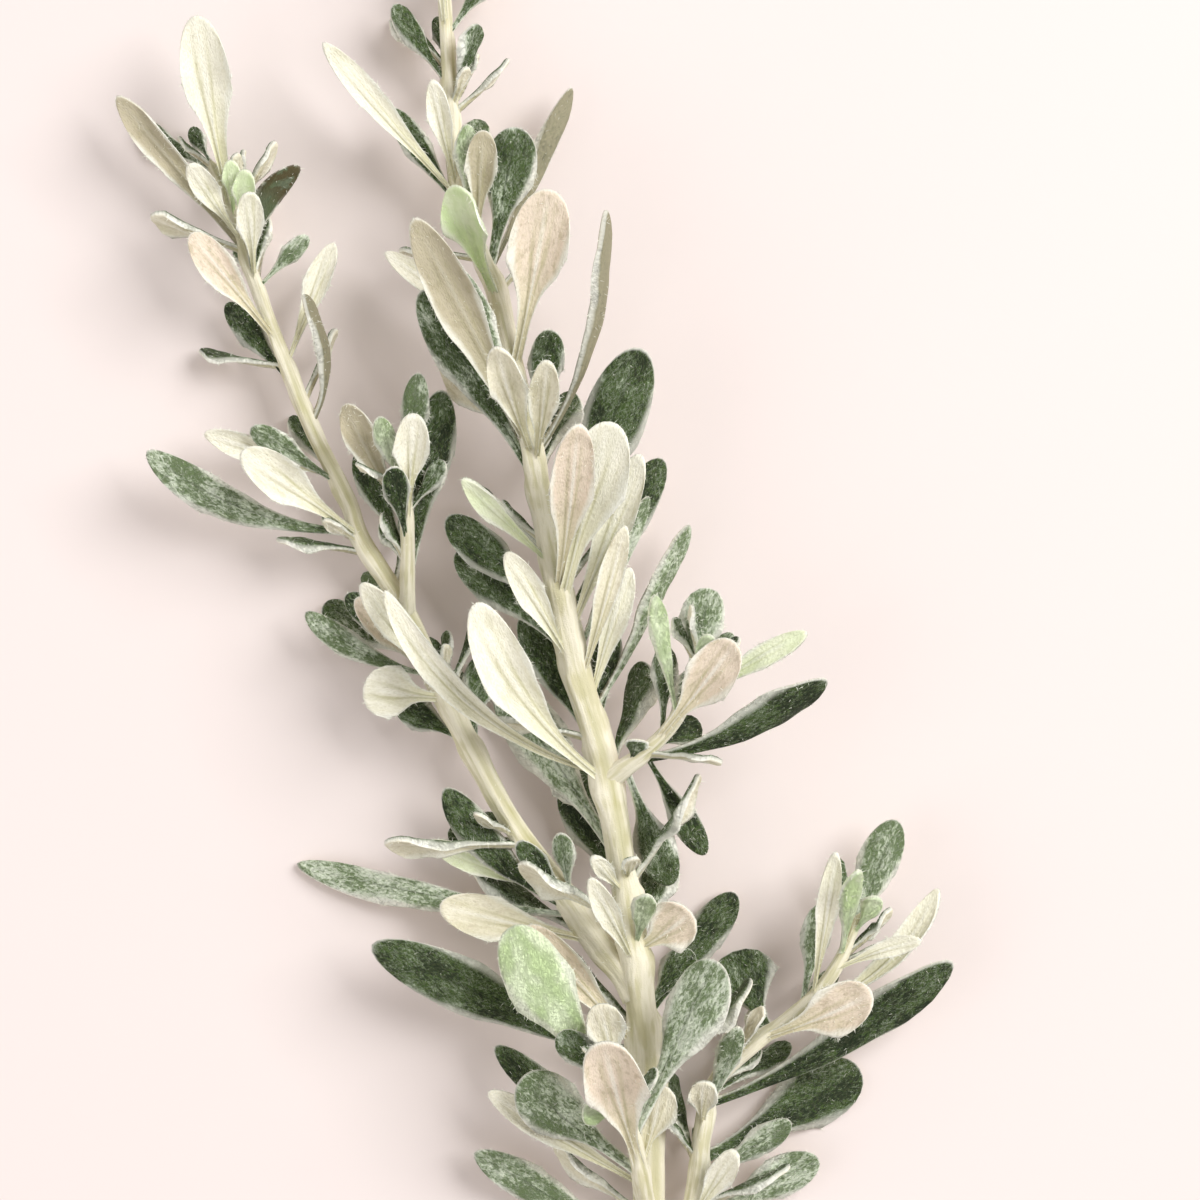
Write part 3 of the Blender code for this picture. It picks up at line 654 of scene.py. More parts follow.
class SprigPlan:
    """Works out where each leaf stands, in the same order and with the same draws as the solids."""

    def __init__(self, shoots: list[Shoot]) -> None:
        """Lay the routes and place the leaves.

        Args:
            shoots: The shoots, each after the one that carries it.
        """
        self.shoots = shoots
        self.routes = {shoot.name: Route(shoot) for shoot in shoots}
        self.crowd = Crowd()
        for shoot in shoots:
            stem = CoarseStem(self.routes[shoot.name], self.routes.get(shoot.parent))
            skin = (stem.vertices, stem.triangles)
            self.crowd.add(shoot.name, skin, skin)
        seen = [(shoot, Leaf(*row)) for shoot in shoots for row in shoot.leaf_rows]
        for shoot, leaf in sorted(seen, key=lambda pair: -pair[1].length * pair[1].width):
            self._place(shoot, leaf)
        draw = random.Random(SEED)
        for shoot in shoots:
            self._fill(shoot, draw)

    def _place(self, shoot: Shoot, leaf: Leaf) -> None:
        """Seat a leaf on its shoot in the first pose that stands clear, or leave it out.

        Args:
            shoot: The shoot that bears it.
            leaf: The leaf.
        """
        seat, axis, _ = self.routes[shoot.name].at(leaf.along * MM)
        for lift_step, side_step in BEND_STEPS:
            heading = math.atan2(axis.x, axis.y) + math.radians(leaf.side + side_step)
            lift = math.radians(min(leaf.lift + lift_step, STEEPEST_LIFT))
            blade = Blade(leaf.along, seat, heading, lift, math.radians(leaf.roll),
                          leaf.length * MM, leaf.width * MM, math.radians(leaf.curl),
                          math.radians(leaf.sweep), leaf.tone)
            blade.settle()
            if self.crowd.is_clear(shoot.name, blade):
                shoot.blades.append(blade)
                self.crowd.add(shoot.name, blade.skin(), blade.skin(0.0, True))
                return

    @staticmethod
    def _spiral_leaf(axis: Vector, along: float, around: float, spread: float, length: float,
                     draw: random.Random) -> Leaf:
        """Turn a leaf of the spiral so that its upper face is towards the stem.

        Args:
            axis: The stem's direction.
            along: The leaf's seat, in millimetres.
            around: Its angle round the stem from the top.
            spread: Its angle off the stem.
            length: Its length, in millimetres.
            draw: The seeded draw.

        Returns:
            The leaf.
        """
        side, top = level_frame(axis)
        out = side * math.sin(around) + top * math.cos(around)
        ahead = axis * math.cos(spread) + out * math.sin(spread)
        level, upper = level_frame(ahead)
        inward = axis - ahead * axis.dot(ahead)
        roll = math.atan2(inward.dot(level), inward.dot(upper))
        turn = math.atan2(ahead.x, ahead.y) - math.atan2(axis.x, axis.y)
        return Leaf(along, math.degrees(turn), math.degrees(math.asin(ahead.z)), length,
                    length * draw.uniform(*WIDTH_SHARE),
                    roll=math.degrees(roll) + draw.uniform(*TWIST), curl=draw.uniform(*CURL))

    def _fill(self, shoot: Shoot, draw: random.Random) -> None:
        """Place the spiral of leaves, with tufts at some of their roots, on the hidden sides.

        Args:
            shoot: The shoot that bears them.
            draw: The seeded draw.
        """
        route = self.routes[shoot.name]
        along = shoot.fill_from
        turn = draw.uniform(0, 360)
        whole = route.length / MM
        while along < whole:
            _, axis, _ = route.at(along * MM)
            length = draw.uniform(*shoot.fill_length) * (1 - TIP_SHORTENING * along / whole)
            spread = math.radians(draw.uniform(*SPREAD))
            around = (turn + 180) % 360 - 180
            if abs(around) > BARE_HALF_ANGLE:
                self._place(shoot, self._spiral_leaf(axis, along, math.radians(around), spread,
                                                     length, draw))
                if draw.random() < TUFT_CHANCE:
                    for step in TUFT_SIDES:
                        self._place(shoot, self._spiral_leaf(
                            axis, along + TUFT_OFFSET, math.radians(around + step),
                            spread * TUFT_SPREAD_SHARE, draw.uniform(*TUFT_LENGTH), draw))
            turn += SPIRAL_TURN
            along += shoot.fill_step


Colour = tuple[float, float, float, float]
Span = tuple[float, float]
Term = "Number | float"


def srgb(red: int, green: int, blue: int) -> Colour:
    """Turn a screen colour of 0 to 255 into a linear one."""
    linear = [((c / 255 + 0.055) / 1.055) ** 2.4 if c > 10 else c / 3294.6
              for c in (red, green, blue)]
    return linear[0], linear[1], linear[2], 1.0


@dataclass(frozen=True)
class Number:
    """A number in a shader that plain arithmetic can be written with."""

    graph: "Graph"
    socket: bpy.types.NodeSocket

    def _math(self, operation: str, first: Term, second: Term = 0.0) -> "Number":
        """The result of one math node."""
        node = self.graph.node("ShaderNodeMath", {"operation": operation}, {0: first, 1: second})
        return Number(self.graph, node.outputs[0])

    def __add__(self, other: Term) -> "Number":
        """Add."""
        return self._math("ADD", self, other)

    def __radd__(self, other: Term) -> "Number":
        """Add to a plain number."""
        return self._math("ADD", other, self)

    def __sub__(self, other: Term) -> "Number":
        """Subtract."""
        return self._math("SUBTRACT", self, other)

    def __rsub__(self, other: Term) -> "Number":
        """Subtract from a plain number."""
        return self._math("SUBTRACT", other, self)

    def __mul__(self, other: Term) -> "Number":
        """Multiply."""
        return self._math("MULTIPLY", self, other)

    def __rmul__(self, other: Term) -> "Number":
        """Multiply a plain number."""
        return self._math("MULTIPLY", other, self)

    def __abs__(self) -> "Number":
        """Drop the sign."""
        return self._math("ABSOLUTE", self)

    def sine(self) -> "Number":
        """The sine of an angle in radians."""
        return self._math("SINE", self)

    def step(self, low: float, high: float) -> "Number":
        """Rise smoothly from 0 to 1 between two values, which may come in falling order."""
        node = self.graph.node("ShaderNodeMapRange", {"interpolation_type": "SMOOTHSTEP"},
                               {"Value": self, "From Min": low, "From Max": high})
        return Number(self.graph, node.outputs["Result"])


class Graph:
    """The nodes of one material."""

    def __init__(self, name: str) -> None:
        """Start a material.

        Args:
            name: Its name.
        """
        self.material = bpy.data.materials.new(name)
        self.material.use_nodes = True
        self.tree = self.material.node_tree
        self.shader = self.tree.nodes["Principled BSDF"]

    def node(self, kind: str, settings: dict | None = None,
             inputs: dict | None = None) -> bpy.types.ShaderNode:
        """Add a node.

        Args:
            kind: The node's type.
            settings: Its properties.
            inputs: Its inputs by name or number, each a plain value, a Number or a socket.

        Returns:
            The node.
        """
        node = self.tree.nodes.new(kind)
        for key, value in (settings or {}).items():
            setattr(node, key, value)
        for key, value in (inputs or {}).items():
            self.feed(node.inputs[key], value)
        return node

    def feed(self, socket: bpy.types.NodeSocket, value: object) -> None:
        """Link a value to an input, or set it there.

        Args:
            socket: The input.
            value: A Number or a socket, which is linked, or a plain value, which is set.
        """
        if isinstance(value, Number):
            value = value.socket
        if isinstance(value, bpy.types.NodeSocket):
            self.tree.links.new(value, socket)
        else:
            socket.default_value = value

    def dress(self, **inputs: object) -> bpy.types.Material:
        """Feed the surface shader.

        Args:
            **inputs: Its inputs, named with _ for each blank.

        Returns:
            The finished material.
        """
        for key, value in inputs.items():
            self.feed(self.shader.inputs[key.replace("_", " ")], value)
        return self.material

    def mix(self, share: Term, first: object, second: object) -> bpy.types.NodeSocket:
        """Blend two colours: the first at 0, the second at 1."""
        node = self.node("ShaderNodeMix", {"data_type": "RGBA"}, {0: share, 6: first, 7: second})
        return node.outputs[2]

    def place(self) -> bpy.types.NodeSocket:
        """The place on the piece, in metres."""
        return self.node("ShaderNodeTexCoord").outputs["Object"]

    def unrolled(self) -> bpy.types.NodeSocket:
        """The place on the unrolled surface, from the piece's own UV map."""
        return self.node("ShaderNodeUVMap", {"uv_map": "UVMap"}).outputs["UV"]

    def carried(self, name: str, output: str = "Vector") -> bpy.types.NodeSocket:
        """A value that the mesh carries."""
        return self.node("ShaderNodeAttribute", {"attribute_name": name}).outputs[output]

    def number(self, name: str) -> Number:
        """A number that the mesh carries."""
        return Number(self, self.carried(name, "Fac"))

    def parts(self, vector: object) -> list[Number]:
        """The three numbers of a vector or a colour."""
        node = self.node("ShaderNodeSeparateXYZ", {}, {0: vector})
        return [Number(self, node.outputs[i]) for i in range(3)]

    def noise(self, place: object, size: float, detail: float = 2.0,
              roughness: float = 0.5, wander: float = 0.0) -> Number:
        """Clouds around 0.5, of a size in the units of the place, that wander off their course."""
        node = self.node("ShaderNodeTexNoise", {}, {"Vector": place, "Scale": 1 / size,
                                                    "Detail": detail, "Roughness": roughness,
                                                    "Distortion": wander})
        return Number(self, node.outputs["Fac"])

    def grain(self, place: object, across: float, along: float, detail: float = 2.0,
              roughness: float = 0.5, turn: float = 0.0, wander: float = 0.0) -> Number:
        """Clouds drawn out along a leaf or a stem.

        Args:
            place: The place on the flattened surface.
            across: Their size across it.
            along: Their size along it.
            detail: How many finer layers they have.
            roughness: How strong those are.
            turn: How far they are slanted, in radians.
            wander: How far they wander off their course.

        Returns:
            Their value around 0.5.
        """
        for settings in ({"Rotation": (0, 0, turn)}, {"Scale": (1 / across, 1 / along, 1.0)}):
            node = self.node("ShaderNodeMapping", {}, {"Vector": place, **settings})
            place = node.outputs["Vector"]
        return self.noise(place, 1.0, detail, roughness, wander)

    def bump(self, height: Number, strength: float, depth: float) -> bpy.types.NodeSocket:
        """A normal roughened by a height.

        Args:
            height: The height, 0 to 1.
            strength: How strongly it shows.
            depth: What a height of 1 measures, in metres.

        Returns:
            The normal's socket.
        """
        node = self.node("ShaderNodeBump", {},
                         {"Height": height, "Strength": strength, "Distance": depth})
        return node.outputs["Normal"]


@dataclass(frozen=True)
class LeafFelt:
    """The leaf's finish: green under tangled white wool above, thick pale felt below.

    A span says where a feature starts and where it is full. The shares say how strongly the
    features show.
    """

    green: Colour = srgb(27, 40, 18)
    light_green: Colour = srgb(70, 92, 42)
    fresh_green: Colour = srgb(214, 237, 178)
    pale_fresh: Colour = srgb(234, 248, 208)
    thin_wool: Colour = srgb(128, 149, 108)
    thick_wool: Colour = srgb(224, 231, 214)
    felt: Colour = srgb(235, 231, 208)
    pale_felt: Colour = srgb(253, 250, 238)
    shaded_felt: Colour = srgb(186, 180, 140)
    stalk: Colour = srgb(226, 221, 186)
    rosy_felt: Colour = srgb(236, 219, 200)
    spotted_felt: Colour = srgb(184, 170, 144)
    worn_felt: Colour = srgb(172, 165, 138)
    scorch: Colour = srgb(82, 70, 42)
    rim: Colour = srgb(244, 244, 234)

    # Sizes of the patterns on the flattened leaf, across and along, in millimetres
    patch: Span = (2.2, 4.5)
    fleck: Span = (0.3, 0.7)
    strand: Span = (0.4, 1.9)
    strand_slants: Span = (0.5, -0.7)
    fibre: Span = (0.16, 0.42)
    mottle: Span = (0.8, 1.5)
    fold: Span = (1.0, 5.0)

    # Spans along the leaf, 0 at the foot and 1 at the tip
    woolly_foot: Span = (0.34, 0.0)
    groove_shade_run: Span = (0.92, 0.5)
    rim_tip: Span = (0.93, 0.99)
    burnt_run: Span = (0.4, 0.7)
    stalk_run: Span = (0.5, 0.15)
    rib_highlight_run: Span = (0.95, 0.5)
    hollow_shade_run: Span = (0.94, 0.3)

    # Spans across the leaf, 0 at the middle and 1 at the margin
    woolly_margin: Span = (0.6, 1.0)
    groove_shade_side: Span = (0.1, 0.0)
    rim_side: Span = (0.76, 0.98)
    rib_highlight_side: Span = (0.13, 0.03)
    hollow_shade_at: float = 0.27
    hollow_shade_side: Span = (0.15, 0.0)

    # Spans of the clouds, which lie around 0.5
    lively_cloud: Span = (0.35, 0.62)
    burnt_cloud: Span = (0.4, 0.52)
    ground_cloud: Span = (0.3, 0.52)
    strand_cloud: Span = (0.3, 0.5)
    wool_cloud: Span = (0.48, 0.66)
    fluff_cloud: Span = (0.56, 0.8)
    strand_line: Span = (0.022, 0.003)
    fold_light: Span = (0.4, 0.65)
    fold_shade: Span = (0.45, 0.3)
    spot_cloud: Span = (0.5, 0.7)

    # Spans of the tone's paleness, which is turned about for the last two
    pale_tone: Span = (0.0, 0.7)
    worn_tone: Span = (0.45, 0.7)
    charred_tone: Span = (0.85, 0.95)

    uneven_share: float = 0.35
    foot_share: float = 0.8
    groove_shade_share: float = 0.45
    fresh_shares: Span = (0.9, 0.85)
    worn_share: float = 0.72
    rim_shares: Span = (0.8, 0.7)
    fibre_share: float = 0.9
    burnt_share: float = 0.85
    wool_share: float = 0.88
    strand_share: float = 0.42
    rosy_share: float = 0.9
    stalk_share: float = 0.7
    rib_highlight_share: float = 0.6
    hollow_shade_share: float = 0.62
    bare_gloss: float = 0.26
    relief: float = 0.2 * MM

    def build(self) -> bpy.types.Material:
        """Make the material.

        Returns:
            The material, which reads UVMap, flat, upper, tone and chance of a mesh.
        """
        g = Graph("leaf_felt")
        u, v, _ = g.parts(g.unrolled())
        across = (abs(u * 2.0 - 1.0) * (math.pi / 2)).sine()
        flat = g.carried("flat")
        fresh, pale, rosy = g.parts(g.carried("tone"))
        chance = g.number("chance")
        upper = g.number("upper")
        patches = g.grain(flat, *self.patch)
        mottles = g.grain(flat, *self.mottle, detail=4.0, roughness=0.62)
        fibres = g.grain(flat, *self.fibre, detail=1.0)
        margin = across + (patches - 0.5) * self.uneven_share
        edge = margin.step(*self.woolly_margin) + v.step(*self.woolly_foot) * self.foot_share
        top, wool, strands = self._top(g, flat, patches,
                                       pale + (chance - 0.5) * self.uneven_share, edge)
        # Painted shade: the upper face is darkened towards the bare green along the midrib groove.
        groove_shade = across.step(*self.groove_shade_side) * v.step(*self.groove_shade_run)
        top = g.mix(groove_shade * self.groove_shade_share, top, self.green)
        lively = g.mix(patches.step(*self.lively_cloud), self.fresh_green, self.pale_fresh)
        top = g.mix(fresh * self.fresh_shares[0], top, lively)
        under, folds = self._under(g, flat, across, v, pale, rosy, mottles)
        under = g.mix(fresh * self.fresh_shares[1], under, lively)
        colour = g.mix(upper, under, top)
        age = 0.0 - pale
        charred = age.step(*self.charred_tone)
        colour = g.mix((age.step(*self.worn_tone) - charred) * self.worn_share, colour,
                       self.worn_felt)
        rim = (margin.step(*self.rim_side) * self.rim_shares[0]
               + v.step(*self.rim_tip) * self.rim_shares[1])
        colour = g.mix(rim * (1.0 - fresh * 0.3), colour, self.rim)
        tint = (fibres - 0.5) * self.fibre_share + 0.06
        colour = g.mix(tint * (1.0 - upper * 0.75) * (1.0 - fresh * 0.8), colour,
                       self.shaded_felt)
        burnt = charred * v.step(*self.burnt_run) * mottles.step(*self.burnt_cloud)
        colour = g.mix(burnt * self.burnt_share, colour, self.scorch)
        height = (wool * upper * 0.6 + strands * upper * 0.4 + fibres * 0.8
                  + (folds + mottles * 0.6) * (1.0 - upper) * 0.8)
        roughness = 0.94 - (1.0 - wool) * upper * self.bare_gloss
        return g.dress(Base_Color=colour, Roughness=roughness, Sheen_Weight=0.04,
                       Sheen_Roughness=0.6, Specular_IOR_Level=0.22,
                       Normal=g.bump(height, 0.85, self.relief))

    def _top(self, g: Graph, flat: object, patches: Number, pale: Number,
             edge: Number) -> tuple[bpy.types.NodeSocket, Number, Number]:
        """The upper face.

        Args:
            g: The material's nodes.
            flat: The place on the flattened leaf.
            patches: Wide clouds.
            pale: How pale the leaf is.
            edge: What is added near the margins and at the foot.

        Returns:
            The colour, the cover of the wool and the single strands.
        """
        flecks = g.grain(flat, *self.fleck, detail=5.0, roughness=0.72, wander=0.6)
        cover = flecks + (patches - 0.5) * 0.6 + pale * 0.28 + edge * 0.1 + 0.02
        wool = cover.step(*self.wool_cloud)
        tangles = [g.grain(flat, *self.strand, detail=3.0, roughness=0.55, turn=slant, wander=1.1)
                   for slant in self.strand_slants]
        first, second = (abs(tangle - 0.5).step(*self.strand_line) for tangle in tangles)
        strands = (first + second * 0.7) * cover.step(*self.strand_cloud)
        ground = g.mix(cover.step(*self.ground_cloud), self.green, self.light_green)
        ground = g.mix(pale.step(*self.pale_tone) * 0.5, ground, self.thin_wool)
        fluff = g.mix(cover.step(*self.fluff_cloud), self.thin_wool, self.thick_wool)
        top = g.mix(wool * self.wool_share, ground, fluff)
        return g.mix(strands * self.strand_share, top, self.thick_wool), wool, strands

    def _under(self, g: Graph, flat: object, across: Number, v: Number, pale: Number,
               rosy: Number, mottles: Number) -> tuple[bpy.types.NodeSocket, Number]:
        """The felted underside, with a painted highlight on its midrib and painted shade beside it
        and in the folds.

        Args:
            g: The material's nodes.
            flat: The place on the flattened leaf.
            across: The share of the way from the middle to the margin.
            v: The share of the way along.
            pale: How pale the felt is.
            rosy: How rosy the felt is.
            mottles: Small clouds.

        Returns:
            The colour and the height of the folds.
        """
        folds = g.grain(flat, *self.fold, detail=3.0)
        under = g.mix(pale * 0.75 + folds.step(*self.fold_light) * 0.25, self.felt,
                      self.pale_felt)
        under = g.mix(rosy * self.rosy_share, under, self.rosy_felt)
        spots = mottles.step(*self.spot_cloud) * (0.3 + rosy * 0.4 - pale * 0.25)
        under = g.mix(spots, under, self.spotted_felt)
        under = g.mix(v.step(*self.stalk_run) * self.stalk_share, under, self.stalk)
        # Painted highlight: a paler line along the underside's midrib, as if the raised rib caught
        # the light.
        rib = across.step(*self.rib_highlight_side) * v.step(*self.rib_highlight_run)
        under = g.mix(rib * self.rib_highlight_share, under, self.pale_felt)
        # Painted shade in the hollows on each side of the midrib and on the sides of the folds,
        # mixed towards the shaded felt.
        hollow_shade = abs(across - self.hollow_shade_at).step(*self.hollow_shade_side) * v.step(*self.hollow_shade_run)
        shade = hollow_shade * self.hollow_shade_share + folds.step(*self.fold_shade) * 0.3
        return g.mix(shade, under, self.shaded_felt), folds


@dataclass(frozen=True)
class StemFelt:
    """The stem's finish: cream wool, its furrows a yellow-green that is partly painted shade, and
    wood on the cut.

    A span says where a feature starts and where it is full.
    """

    wool: Colour = srgb(242, 236, 214)
    streak: Colour = srgb(206, 200, 158)
    furrow_green_and_shade: Colour = srgb(176, 172, 112)
    wood: Colour = srgb(214, 206, 158)
    pith: Colour = srgb(244, 242, 226)
    fibre_size: float = 0.16 * MM
    patch_size: float = 4.0 * MM

    # Sizes in turns round the stem and in lengths of STEM_UNROLL along it
    strand: Span = (0.035, 0.05)
    streaking: Span = (0.09, 0.16)

    worn_cloud: Span = (0.46, 0.66)
    furrow_shade_bulge: Span = (0.5, -0.5)
    strand_cloud: Span = (0.5, 0.62)
    wood_core: Span = (0.86, 0.8)
    pith_core: Span = (0.35, 0.28)
    worn_share: float = 0.75
    furrow_shade_share: float = 0.7
    strand_share: float = 0.35
    relief: float = 0.18 * MM

    def build(self) -> bpy.types.Material:
        """Make the material.

        Returns:
            The material, which reads UVMap, core and bulge of a mesh.
        """
        g = Graph("stem_felt")
        place, unrolled = g.place(), g.unrolled()
        core, bulge = g.number("core"), g.number("bulge")
        streaks = g.grain(unrolled, *self.streaking, detail=4.0)
        strands = g.grain(unrolled, *self.strand, detail=3.0, roughness=0.6)
        patches = g.noise(place, self.patch_size)
        fibres = g.noise(place, self.fibre_size)
        worn = (streaks + (patches - 0.5) * 0.6).step(*self.worn_cloud)
        colour = g.mix(worn * self.worn_share, self.wool, self.streak)
        # Partly painted shade: where the surface lies low, in the furrows and away from the
        # cushions, the wool is mixed towards a darker yellow-green.
        colour = g.mix(bulge.step(*self.furrow_shade_bulge) * self.furrow_shade_share, colour, self.furrow_green_and_shade)
        strand = strands.step(*self.strand_cloud) * self.strand_share
        colour = g.mix(strand * (1.0 - fibres * 0.5), colour, self.streak)
        colour = g.mix(core.step(*self.wood_core), colour, self.wood)
        colour = g.mix(core.step(*self.pith_core), colour, self.pith)
        height = streaks * 1.4 + strands * 0.8 + fibres * 0.5
        return g.dress(Base_Color=colour, Roughness=0.9, Sheen_Weight=0.2, Sheen_Roughness=0.6,
                       Specular_IOR_Level=0.3, Normal=g.bump(height, 0.8, self.relief))


@dataclass(frozen=True)
class HairWool:
    """The finish of the single hairs."""

    colour: Colour = srgb(242, 242, 230)

    def build(self) -> bpy.types.Material:
        """Make the material, the same all over."""
        return Graph("hair_wool").dress(Base_Color=self.colour, Roughness=0.9,
                                        Specular_IOR_Level=0.2)


@dataclass(frozen=True)
class CardPaper:
    """The floor's finish: plain pale card."""

    colour: Colour = srgb(236, 225, 222)

    def build(self) -> bpy.types.Material:
        """Make the material."""
        return Graph("card").dress(Base_Color=self.colour, Roughness=0.95)


def mesh_from(bm: bmesh.types.BMesh, name: str) -> bpy.types.Mesh:
    """Turn a finished bmesh into a mesh, and free it.

    Args:
        bm: The bmesh.
        name: The mesh's name.

    Returns:
        The mesh.
    """
    mesh = bpy.data.meshes.new(name)
    bm.to_mesh(mesh)
    bm.free()
    return mesh


def read(items: bpy.types.bpy_prop_collection, name: str, width: int = 1) -> np.ndarray:
    """Read a value of each of a mesh's corners or faces.

    Args:
        items: The corners or faces.
        name: The value's name.
        width: How many numbers it has.

    Returns:
        The values, a row each.
    """
    values = np.empty(len(items) * width)
    items.foreach_get(name, values)
    return values.reshape(-1, width)


def stand(name: str, data: bpy.types.ID) -> bpy.types.Object:
    """Put a mesh, a lamp or a camera in the scene.

    Args:
        name: The object's name.
        data: What it shows.

    Returns:
        The object, at the origin.
    """
    thing = bpy.data.objects.new(name, data)
    bpy.context.scene.collection.objects.link(thing)
    return thing


def show(mesh: bpy.types.Mesh, shoot: Shoot, finish: bpy.types.Material) -> bpy.types.Object:
    """Put a shaped mesh in the scene as a piece of a shoot.

    Args:
        mesh: The mesh, in place.
        shoot: The shoot whose node it replaces.
        finish: Its material.

    Returns:
        The object.
    """
    mesh.materials.append(finish)
    mesh.update()
    piece = stand(mesh.name, mesh)
    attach(piece, "root")
    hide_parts(shoot.name)
    LOG.info("%s: %d faces", piece.name, len(mesh.polygons))
    return piece


def ramp(values: np.ndarray, start: float, run: float) -> np.ndarray:
    """Rise evenly from 0 to 1 over a run."""
    return np.clip((values - start) / run, 0, 1)


@dataclass
class LeafSheet:
    """The flat sheet that every leaf of a size is bent from, with corners at unit places."""

    columns: int
    rows: int

    def build(self) -> bpy.types.Mesh:
        """Make the sheet: two skins one apart, closed round the rim.

        Returns:
            A mesh whose corners lie at -1 to 1 across and along, and 0.5 above or below.
        """
        bm = bmesh.new()
        bmesh.ops.create_grid(bm, x_segments=self.columns, y_segments=self.rows, size=1)
        bmesh.ops.solidify(bm, geom=bm.faces[:], thickness=1)
        bmesh.ops.translate(bm, vec=(0, 0, 0.5), verts=bm.verts[:])
        # Solidify gives its faces in an order that varies, and each face draws for its hair.
        bm.verts.index_update()
        bm.faces.sort(key=self._rank)
        uv = bm.loops.layers.uv.new("UVMap")
        upper = bm.verts.layers.float.new("upper")
        for face in bm.faces:
            face.smooth = True
            for loop in face.loops:
                loop[uv].uv = ((loop.vert.co.x + 1) / 2, (loop.vert.co.y + 1) / 2)
        for vert in bm.verts:
            vert[upper] = 1.0 if vert.co.z > 0 else 0.0
        return mesh_from(bm, "leaf_sheet")

    def _rank(self, face: bmesh.types.BMFace) -> float:
        """A number that puts the faces in order of their corners' numbers."""
        corners = [vert.index for vert in face.verts]
        return min(corners) * 4.0 * (self.columns + 1) * (self.rows + 1) + max(corners)


